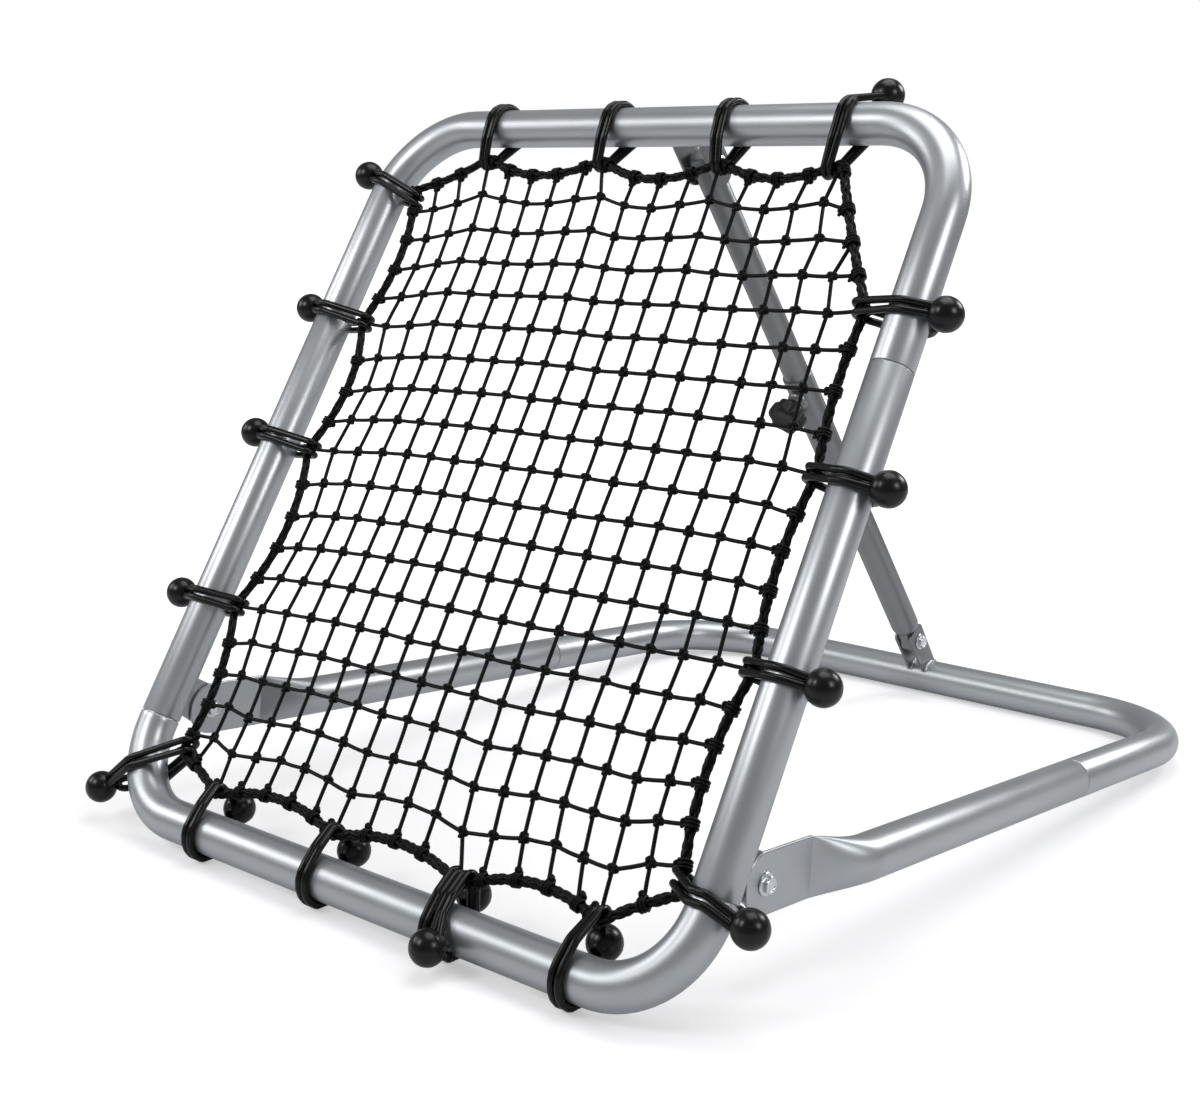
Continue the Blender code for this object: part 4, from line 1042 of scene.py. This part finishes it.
def lobed(share):
    """Radius of the knob over angle, at a share of its full radius."""

    def radius(angle):
        wave = (1.0 - math.cos(KNOB_LOBES * angle)) / 2.0
        return KNOB_RADIUS * share - KNOB_DIMPLE * wave**1.6 * share**5

    return radius


def build_knob():
    """Lobed clamp knob with its stud."""
    foot, _, rise, back = strut_frame()
    centre = foot + rise * KNOB_ALONG
    start = BOSS_END + TOUCH_GAP
    profile = [(start, lobed(0.50)), (start + 0.0006, lobed(0.55))]
    for along, share in (
        (0.26, 0.60),
        (0.30, 0.74),
        (0.33, 0.90),
        (0.37, 0.965),
        (0.44, 0.985),
        (0.70, 1.0),
        (0.84, 0.995),
        (0.91, 0.975),
        (0.96, 0.93),
        (0.99, 0.85),
        (1.00, 0.70),
        (0.985, 0.52),
        (0.975, 0.49),
        (0.975, 0.05),
    ):
        profile.append((start + KNOB_DEPTH * along, lobed(share)))
    skin = Skin()
    skin.add_turned(centre, -back, profile, 120, rise)
    tip = INNER_RADIUS + 0.0006
    stud = [(tip, 0.0036), (tip + 0.0006, 0.0040), (start + 0.004, 0.0040)]
    skin.add_turned(centre, -back, stud, 24, rise)
    nylon = finish("textured_nylon")
    make_piece("clamp_knob", skin.mesh("knob"), nylon, "knob", ["knob"], 45.0)


# Border rope and net


def rope_line():
    """Fine points round the border rope, as u and v, and where its ties and holds are there."""
    points = []
    ties = []
    holds = {}
    for row, following in zip(ROPE_HOLDS, ROPE_HOLDS[1:] + ROPE_HOLDS[:1]):
        name, across, up, count, sag, first_tie, last_tie = row
        holds[name] = len(points)
        start = Vector((across * HALF_WIDTH, up * FRAME_LENGTH))
        end = Vector((following[1] * HALF_WIDTH, following[2] * FRAME_LENGTH))
        run = end - start
        inward = Vector((run.y, -run.x)).normalized()
        steps = round(run.length / ROPE_STEP)
        spread = (last_tie - first_tie) / max(1, count - 2)
        shares = [0.0] + [first_tie + spread * k for k in range(count - 1)]
        ties += [len(points) + round(steps * share) for share in shares]
        for k in range(steps):
            share = k / steps
            points.append(start + run * share + inward * sag * 4.0 * share * (1.0 - share))
    count = len(points)
    for _ in range(ROPE_SMOOTHING):
        points = [
            points[k - 1] * 0.25 + points[k] * 0.5 + points[(k + 1) % count] * 0.25
            for k in range(count)
        ]
    return points, ties, holds


def border_places():
    """Column and row of the net at each tie, clockwise from the upper left."""
    cut = COLUMNS - 1
    top = [(i, 0) for i in range(cut)]
    corner = [(cut, j + 1) for j in range(CUT_ROWS)]
    right = [(COLUMNS, j) for j in range(CUT_ROWS + 1, ROWS + 1)]
    bottom = [(i, ROWS) for i in reversed(range(COLUMNS))]
    left = [(0, j) for j in reversed(range(1, ROWS))]
    return top + corner + right + bottom + left


def net_places(points, ties):
    """Every knot and tie of the net as u and v, the knots at rest between the ties."""
    fixed = {place: points[tie] for place, tie in zip(border_places(), ties)}
    free = [(i, j) for j in range(1, ROWS) for i in range(1, COLUMNS) if (i, j) not in fixed]
    places = dict(fixed)
    cut = COLUMNS - 1
    for i, j in free:
        west = fixed[0, j]
        east = fixed.get((COLUMNS, j)) or fixed[cut, j]
        above = fixed.get((i, 0)) or fixed[cut, CUT_ROWS]
        below = fixed[i, ROWS]
        places[i, j] = Vector((above.lerp(below, j / ROWS).x, west.lerp(east, i / COLUMNS).y))
    for _ in range(NET_ROUNDS):
        for i, j in free:
            beside = (places[i - 1, j] + places[i + 1, j]) / 2.0
            above = (places[i, j - 1] + places[i, j + 1]) / 2.0
            straight = Vector((beside.x, above.y))
            places[i, j] = straight.lerp(Vector((above.x, beside.y)), NET_GIVE)
    return places, fixed


def rope_tangent(points, k):
    """Direction of the rope at one of its points."""
    return (points[(k + 1) % len(points)] - points[(k - 1) % len(points)]).normalized()


def ring_about(point, tangent, angle, radius):
    """Point beside the rope's line: angle 0 is inwards in the net's plane, a quarter the front."""
    inward = Vector((tangent.y, -tangent.x))
    flat = point + inward * math.cos(angle) * radius
    return on_frame(flat.x, flat.y, math.sin(angle) * radius)


def rope_strand(points, phase, way, pitch, radius, strand_radius):
    """One strand of a plain braid round the rope."""
    path = []
    length = 0.0
    count = len(points)
    for k in range(count + 1):
        point = points[k % count]
        turn = 2.0 * math.pi * length / pitch
        weave = 0.42 * strand_radius * math.cos(BRAID_STRANDS * turn) * way
        reach = radius - strand_radius + weave
        path.append(ring_about(point, rope_tangent(points, k), phase + turn * way, reach))
        length += (points[(k + 1) % count] - point).length
    return path


def build_rope():
    """Braided border rope: a core and as many strands one way round it as the other."""
    settings = bpy.context.scene.rebounder_net
    points, _, _ = rope_line()
    total = sum((points[k] - points[k - 1]).length for k in range(len(points)))
    pitch = total / round(total / settings.braid_pitch)
    radius = settings.rope_radius
    strand_radius = radius * 0.42
    skin = Skin()
    core = [on_frame(p.x, p.y) for p in points + points[:1]]
    skin.add_cord(core[::2], radius - strand_radius * 1.25, 10, FRONT, caps=False)
    spacing = 2.0 * math.pi / BRAID_STRANDS
    for way, start in ((1.0, 0.0), (-1.0, spacing / 2.0)):
        for k in range(BRAID_STRANDS):
            path = rope_strand(points, spacing * k + start, way, pitch, radius, strand_radius)
            skin.add_cord(path, strand_radius, 7, caps=False)
    mesh = skin.mesh("border_rope")
    twine = finish("polyethylene_twine")
    make_piece("braided_border_rope", mesh, twine, "frame", ["border_rope"], 80.0)


def knot_turns(centre, along, normal, reach, steps=22):
    """Closed path of a tight knot of three lobes about a crossing."""
    across = normal.cross(along).normalized()
    along = along.normalized()
    third = reach / 3.0
    path = []
    for k in range(steps + 1):
        angle = 2.0 * math.pi * k / steps
        x = (math.sin(angle) + 2.0 * math.sin(2.0 * angle)) * third
        y = (math.cos(angle) - 2.0 * math.cos(2.0 * angle)) * third
        z = -math.sin(3.0 * angle) * third * 1.25
        path.append(centre + along * x + across * y + normal * z)
    return path


def add_lashing(skin, point, tangent, rope_radius, cord_radius, turns):
    """Adds turns of net cord wound round the rope at a tie."""
    radius = rope_radius * 0.98 + cord_radius * 0.75
    pitch = cord_radius * 1.9
    path = []
    for k in range(LASH_STEPS * turns + 1):
        share = k / LASH_STEPS
        middle = point + tangent * pitch * (share - turns / 2.0)
        path.append(ring_about(middle, tangent, 2.0 * math.pi * share, radius))
    skin.add_cord(path, cord_radius, 8)


def build_net():
    """Square net of knotted cords, each end lashed to the border rope."""
    settings = bpy.context.scene.rebounder_net
    radius = settings.cord_radius
    rope_radius = settings.rope_radius
    points, ties, holds = rope_line()
    places, fixed = net_places(points, ties)
    skin = Skin()

    def sway(place, salt):
        """A small chance value of a knot's own, the same each run."""
        return noise(Vector((place[0] * 1.37, place[1] * 1.91, salt)))

    def spot(place):
        """The knot or tie in space, knots a little off their even places."""
        u, v = places[place]
        if place in fixed:
            return on_frame(u, v, 0.0)
        u += KNOT_SWAY * sway(place, 3.0)
        v += KNOT_SWAY * sway(place, 7.0)
        return on_frame(u, v, KNOT_SWAY_OUT * sway(place, 11.0))

    def add_line(cells):
        """Adds a cord from knot to knot that hangs a little in each opening."""
        spots = [spot(cell) for cell in cells]
        path = []
        for cell, start, end in zip(cells, spots, spots[1:]):
            lean = sway(cell, 17.0)
            for step in range(CORD_STEPS):
                share = step / CORD_STEPS
                bow = 4.0 * share * (1.0 - share) * CORD_BOW
                hung = SLOPE * bow * (0.6 + lean)
                path.append(start.lerp(end, share) - hung + FRONT * bow * lean)
        skin.add_cord(path + [spots[-1]], radius, 8)

    cut = COLUMNS - 1
    for j in range(1, ROWS):
        last = cut if j <= CUT_ROWS else COLUMNS
        add_line([(i, j) for i in range(last + 1)])
    for i in range(1, COLUMNS):
        first = CUT_ROWS if i == cut else 0
        add_line([(i, j) for j in range(first, ROWS + 1)])

    for i, j in places:
        if (i, j) in fixed:
            continue
        centre = spot((i, j))
        up = (spot((i, j - 1)) - spot((i, j + 1))).normalized()
        side = up if (i + j) % 2 else up.cross(FRONT)
        share = 0.35 * sway((i, j), 23.0) + 0.2
        lean = side.lerp(side.cross(FRONT), share).normalized()
        turns = knot_turns(centre, lean, FRONT, settings.knot_reach)
        skin.add_cord(turns, radius * 0.95, 7, caps=False)

    count = len(points)
    hold_names = {place: name for name, place in holds.items()}
    for tie in ties:
        name = hold_names.get(tie, "")
        turns = settings.lashing_turns
        if name.startswith(("top", "bottom")):
            tie += TIE_BESIDE
        elif name:
            turns = 2
        point = points[tie % count]
        tangent = rope_tangent(points, tie)
        add_lashing(skin, point, tangent, rope_radius, radius * 0.8, turns)
        inner = ring_about(point, tangent, 0.0, rope_radius + radius * 1.5)
        turns = knot_turns(inner, SLOPE, FRONT, settings.knot_reach * 0.72)
        skin.add_cord(turns, radius * 0.9, 7, caps=False)
    mesh = skin.mesh("net")
    twine = finish("polyethylene_twine")
    make_piece("knotted_net", mesh, twine, "frame", ["net"], 80.0)


# Bungees


def frame_axis(side, share):
    """Point on the net frame's axis and the direction outwards there, both as u and v."""
    if side == "top":
        return Vector((share * HALF_WIDTH, FRAME_LENGTH)), Vector((0.0, 1.0))
    if side == "bottom":
        return Vector((share * HALF_WIDTH, 0.0)), Vector((0.0, -1.0))
    out = -1.0 if side == "left" else 1.0
    along = share * FRAME_LENGTH
    if along < FOOT_BEND:
        bend = middle = FOOT_BEND
    elif along > FRAME_LENGTH - FRAME_BEND:
        bend = FRAME_BEND
        middle = FRAME_LENGTH - FRAME_BEND
    else:
        return Vector((out * HALF_WIDTH, along)), Vector((out, 0.0))
    rise = math.asin((along - middle) / bend)
    outwards = Vector((out * math.cos(rise), math.sin(rise)))
    return Vector((out * (HALF_WIDTH - bend), middle)) + outwards * bend, outwards


def tangent_arc(centre, radius, start, end, step=math.radians(20.0)):
    """Corners of a path that touches a circle from one angle to another."""
    steps = max(1, math.ceil(abs(end - start) / step))
    turn = (end - start) / steps
    corner = radius / math.cos(turn / 2.0)
    return [centre + polar(corner, start + turn * (k + 0.5)) for k in range(steps)]


def half_loop(reach, tube_wrap, rope_wrap, ball_angle, ball_distance):
    """One side of a taut loop: its corners on the tube, from the ball, and its angle at the
    rope."""
    tube = Vector((reach, 0.0))
    lean = math.pi / 2.0 + math.asin((tube_wrap - rope_wrap) / reach)
    touch = ball_angle + math.acos(tube_wrap / ball_distance)
    if touch < lean:
        return tangent_arc(tube, tube_wrap, touch, lean), lean
    ball = tube + polar(ball_distance, ball_angle)
    return [], math.atan2(ball.y, ball.x) + math.acos(rope_wrap / ball.length)


def bungee_path(row, points, holds, radius, ball_radius):
    """The cord of one bungee from the ball round the rope and back, and the ball's centre and way
    in. Each strand is drawn flat, out from the rope and out of the front, and then laid on the
    frame."""
    name, hold_name, shift, crossing, angle, distance, ball_shift = row
    side_name = name.split("_")[0]
    level = side_name in ("top", "bottom")
    rope_spread, tube_spread = LEVEL_SPREADS if level else SIDE_SPREADS
    if hold_name == SHARED_HOLD:
        tube_spread = SHARED_SPREAD
    tube, outwards = frame_axis(side_name, crossing)
    along = Vector((abs(outwards.y), abs(outwards.x)))
    along = (along - outwards * along.dot(outwards)).normalized()
    place = holds[hold_name]
    hold = points[place]
    tube_wrap = TUBE_RADIUS + radius + CORD_LIFT
    rope_wrap = bpy.context.scene.rebounder_net.rope_radius + radius * 0.95

    def lay(point, lateral, reach):
        flat = tube + outwards * (point.x - reach) + along * lateral
        return on_frame(flat.x, flat.y, point.y)

    def rope_run(step):
        return points[(place + step) % len(points)] - hold

    ends = []
    strands = []
    for side in (1.0, -1.0):
        offset = shift + side * radius * rope_spread
        run = rope_run(4 if rope_run(4).dot(along) * offset > 0.0 else -4).normalized()
        slant = run.dot(along)
        grip = hold + run * (offset / slant)
        reach = (tube - grip).dot(outwards)
        at_rope = (grip - tube).dot(along)
        wrap = rope_wrap / max(0.6, abs(slant))
        front, first = half_loop(reach, tube_wrap, wrap, angle, distance)
        rear, last = half_loop(reach, tube_wrap, wrap, -angle, distance)
        rear = [Vector((point.x, -point.y)) for point in reversed(rear)]
        rope = Vector((0.0, 0.0))
        last = 2.0 * math.pi - last
        round_rope = tangent_arc(rope, wrap, first, last, math.radians(36.0))
        centre = Vector((reach, 0.0)) + polar(distance, angle)
        toward = ((front or round_rope)[0] - centre).normalized()
        away = ((rear or round_rope)[-1] - centre).normalized()
        start = centre + toward * (ball_radius - BALL_GRIP)
        end = centre + away * (ball_radius + radius * 2.2)
        at_tube = side * radius * tube_spread
        path = [(start, ball_shift + side * radius * BALL_SPREAD)]
        path += [(point, at_tube) for point in front]
        if level and front:
            slack = front[-1].lerp(round_rope[0], 0.45) + Vector((0.0, SLACK_BOW))
            path.append((slack, at_tube * 0.8 + at_rope * 0.2))
        path += [(point, at_rope) for point in round_rope]
        path += [(point, at_tube) for point in rear]
        path.append((end, ball_shift + side * radius * 1.7))
        strands.append([lay(point, lateral, reach) for point, lateral in path])
        tucked = centre + away * (ball_radius + radius * 0.5)
        ends.append(lay(tucked, ball_shift + side * radius, reach))
    middle = lay(centre, ball_shift, reach)
    way = lay(Vector((reach, 0.0)), 0.0, reach) - middle
    return strands[0] + ends + strands[1][::-1], middle, way


def ball_profile(ball):
    """A collar round the cord's hole and a sphere with a fine parting line."""
    profile = [
        (ball - 0.0045, 0.0030),
        (ball - 0.0008, 0.0034),
        (ball + 0.0002, 0.0044),
        (ball - 0.0002, 0.0056),
    ]
    steps = 30
    first = math.asin(0.0066 / ball)
    for k in range(steps):
        angle = first + (math.pi - first) * k / steps
        parting = 0.00012 if k == steps // 2 else 0.0
        profile.append((ball * math.cos(angle), ball * math.sin(angle) + parting))
    return profile + [(-ball, 0.0002)]


def build_bungees():
    """Elastic loops round the tubes and the border rope, each with its moulded ball."""
    settings = bpy.context.scene.rebounder_bungees
    radius = settings.cord_radius
    ball = settings.ball_radius
    elastic = finish("sleeved_elastic")
    abs_plastic = finish("moulded_abs")
    points, _, holds = rope_line()
    for row in BUNGEES:
        path, centre, way = bungee_path(row, points, holds, radius, ball)
        path = corner_cut(finely_divided(path, BUNGEE_STEP), 2)
        if row[0].startswith("bottom"):
            path = [Vector((p.x, p.y, max(p.z, radius + CORD_LIFT))) for p in path]
        skin = Skin()
        skin.add_cord(path, radius, 14)
        name = "elastic_" + row[0]
        nodes = ["bungee_" + row[0]]
        make_piece(name, skin.mesh(name), elastic, "frame", nodes, 80.0)
        skin = Skin()
        rings = turned_rings(centre, way, ball_profile(ball), 48)
        skin.add_rings([ring[::-1] for ring in rings])
        name = "moulded_ball_" + row[0]
        nodes = ["ball_" + row[0]]
        make_piece(name, skin.mesh(name), abs_plastic, "frame", nodes, 50.0)


# Stage


def studio_board(colour):
    # Matt white studio board: pale, with only a soft shadow. To the camera it glows, more so away
    # from the part, so that it runs out into white; reflections see a little of that glow.
    material, tree, shader = new_finish("studio_board")
    set_shader(shader, colour, Roughness=0.45, Specular_IOR_Level=0.25)
    rays = add_node(tree, "LightPath").outputs
    place = add_node(tree, "TexCoord").outputs["Object"]
    distance = add_node(tree, "VectorMath", links={0: place}, operation="LENGTH")
    values = {"From Min": 0.6, "From Max": 1.7, "To Min": 0.44, "To Max": 1.0}
    fade = add_node(tree, "MapRange", values, {"Value": distance.outputs["Value"]})
    links = {0: rays["Is Camera Ray"], 1: fade.outputs["Result"]}
    seen = add_node(tree, "Math", links=links, operation="MULTIPLY")
    links = {0: rays["Is Glossy Ray"], 2: seen.outputs[0]}
    glow = add_node(tree, "Math", {1: 0.06}, links, operation="MULTIPLY_ADD")
    tree.links.new(glow.outputs[0], shader.inputs["Emission Strength"])
    shader.inputs["Emission Color"].default_value = (1.0, 1.0, 1.0, 1.0)
    return material


def build_surroundings():
    """Even white world, dim as light on the part, a little dimmer in reflections."""
    surroundings = bpy.data.worlds.new("surroundings")
    surroundings.use_nodes = True
    bpy.context.scene.world = surroundings
    tree = surroundings.node_tree
    background = tree.nodes["Background"]
    rays = add_node(tree, "LightPath").outputs
    values = {"To Min": 0.30, "To Max": 1.0}
    seen = add_node(tree, "MapRange", values, {"Value": rays["Is Camera Ray"]})
    links = {0: rays["Is Glossy Ray"], 2: seen.outputs["Result"]}
    strength = add_node(tree, "Math", {1: -0.03}, links, operation="MULTIPLY_ADD")
    tree.links.new(strength.outputs[0], background.inputs["Strength"])
    background.inputs["Color"].default_value = (1.0, 1.0, 1.0, 1.0)


def build_stage():
    """Pale floor, soft lamps, even surroundings and the camera."""
    settings = bpy.context.scene.rebounder_stage
    scene = bpy.context.scene
    scene.view_settings.view_transform = "Standard"

    bm = bmesh.new()
    bmesh.ops.create_grid(bm, x_segments=8, y_segments=8, size=30.0)
    floor = bpy.data.objects.new("floor", mesh_from(bm, "floor"))
    floor.location = (0.0, 0.0, -0.0002)
    scene.collection.objects.link(floor)
    floor.data.materials.append(studio_board(settings.floor_colour))
    build_surroundings()

    for name, place, size, power in LAMPS:
        light = bpy.data.lights.new(name, "AREA")
        light.shape = "SQUARE"
        light.size = size
        light.energy = power
        lamp = bpy.data.objects.new(name, light)
        lamp.location = place
        lamp.rotation_euler = (LAMP_TARGET - Vector(place)).to_track_quat("-Z", "Y").to_euler()
        scene.collection.objects.link(lamp)

    camera = bpy.data.objects.new("camera", bpy.data.cameras.new("camera"))
    camera.data.lens = settings.lens
    camera.data.sensor_width = SENSOR_WIDTH
    camera.data.shift_y = CAMERA_SHIFT
    camera.location = CAMERA_PLACE
    camera.rotation_euler = (CAMERA_PITCH, 0.0, CAMERA_HEADING)
    scene.collection.objects.link(camera)
    scene.camera = camera


# Operators and panel


class REBOUNDER_OT_frame_tubes(bpy.types.Operator):
    """Build the painted tubes of the net frame"""

    bl_idname = "rebounder.frame_tubes"
    bl_label = "Frame Tubes"

    def execute(self, context):
        build_frame_tubes()
        return {"FINISHED"}


class REBOUNDER_OT_base(bpy.types.Operator):
    """Build the rear tube and the two arms of the base"""

    bl_idname = "rebounder.base"
    bl_label = "Base"

    def execute(self, context):
        build_base()
        return {"FINISHED"}


class REBOUNDER_OT_hinges(bpy.types.Operator):
    """Build the hinge plates, their welds and bolts"""

    bl_idname = "rebounder.hinges"
    bl_label = "Hinges"

    def execute(self, context):
        build_hinges()
        return {"FINISHED"}


class REBOUNDER_OT_strut(bpy.types.Operator):
    """Build the telescopic strut and its brackets"""

    bl_idname = "rebounder.strut"
    bl_label = "Strut"

    def execute(self, context):
        build_strut_tubes()
        build_foot_bracket()
        build_head_bracket()
        return {"FINISHED"}


class REBOUNDER_OT_knob(bpy.types.Operator):
    """Build the clamp knob"""

    bl_idname = "rebounder.knob"
    bl_label = "Clamp Knob"

    def execute(self, context):
        build_knob()
        return {"FINISHED"}


class REBOUNDER_OT_rope(bpy.types.Operator):
    """Build the braided border rope"""

    bl_idname = "rebounder.rope"
    bl_label = "Border Rope"

    def execute(self, context):
        build_rope()
        return {"FINISHED"}


class REBOUNDER_OT_net(bpy.types.Operator):
    """Build the knotted net and its lashings"""

    bl_idname = "rebounder.net"
    bl_label = "Net"

    def execute(self, context):
        build_net()
        return {"FINISHED"}


class REBOUNDER_OT_bungees(bpy.types.Operator):
    """Build the elastic loops and their balls"""

    bl_idname = "rebounder.bungees"
    bl_label = "Bungees"

    def execute(self, context):
        build_bungees()
        return {"FINISHED"}


class REBOUNDER_OT_stage(bpy.types.Operator):
    """Set up the floor, the lamps and the camera"""

    bl_idname = "rebounder.stage"
    bl_label = "Stage"

    def execute(self, context):
        build_stage()
        return {"FINISHED"}


OPERATORS = (
    REBOUNDER_OT_stage,
    REBOUNDER_OT_frame_tubes,
    REBOUNDER_OT_base,
    REBOUNDER_OT_hinges,
    REBOUNDER_OT_strut,
    REBOUNDER_OT_knob,
    REBOUNDER_OT_rope,
    REBOUNDER_OT_net,
    REBOUNDER_OT_bungees,
)
SETTINGS = {
    "rebounder_tubes": TubeSettings,
    "rebounder_net": NetSettings,
    "rebounder_bungees": BungeeSettings,
    "rebounder_stage": StageSettings,
}


class REBOUNDER_PT_pieces(bpy.types.Panel):
    """The rebounder's settings and its pieces"""

    bl_idname = "REBOUNDER_PT_pieces"
    bl_label = "Baseball Rebounder"
    bl_space_type = "VIEW_3D"
    bl_region_type = "UI"
    bl_category = "Rebounder"

    def draw(self, context):
        for group_name, group in SETTINGS.items():
            box = self.layout.box()
            for name in group.__annotations__:
                box.prop(getattr(context.scene, group_name), name)
        for operator in OPERATORS:
            self.layout.operator(operator.bl_idname)


def register():
    for name, group in SETTINGS.items():
        bpy.utils.register_class(group)
        setattr(bpy.types.Scene, name, PointerProperty(type=group))
    for operator in OPERATORS:
        bpy.utils.register_class(operator)
    bpy.utils.register_class(REBOUNDER_PT_pieces)


def unregister():
    bpy.utils.unregister_class(REBOUNDER_PT_pieces)
    for operator in reversed(OPERATORS):
        bpy.utils.unregister_class(operator)
    for name, group in SETTINGS.items():
        delattr(bpy.types.Scene, name)
        bpy.utils.unregister_class(group)


def main():
    register()
    bpy.ops.rebounder.stage()
    bpy.ops.rebounder.frame_tubes()
    bpy.ops.rebounder.base()
    bpy.ops.rebounder.hinges()
    bpy.ops.rebounder.strut()
    bpy.ops.rebounder.knob()
    bpy.ops.rebounder.rope()
    bpy.ops.rebounder.net()
    bpy.ops.rebounder.bungees()


if __name__ == "__main__":
    main()
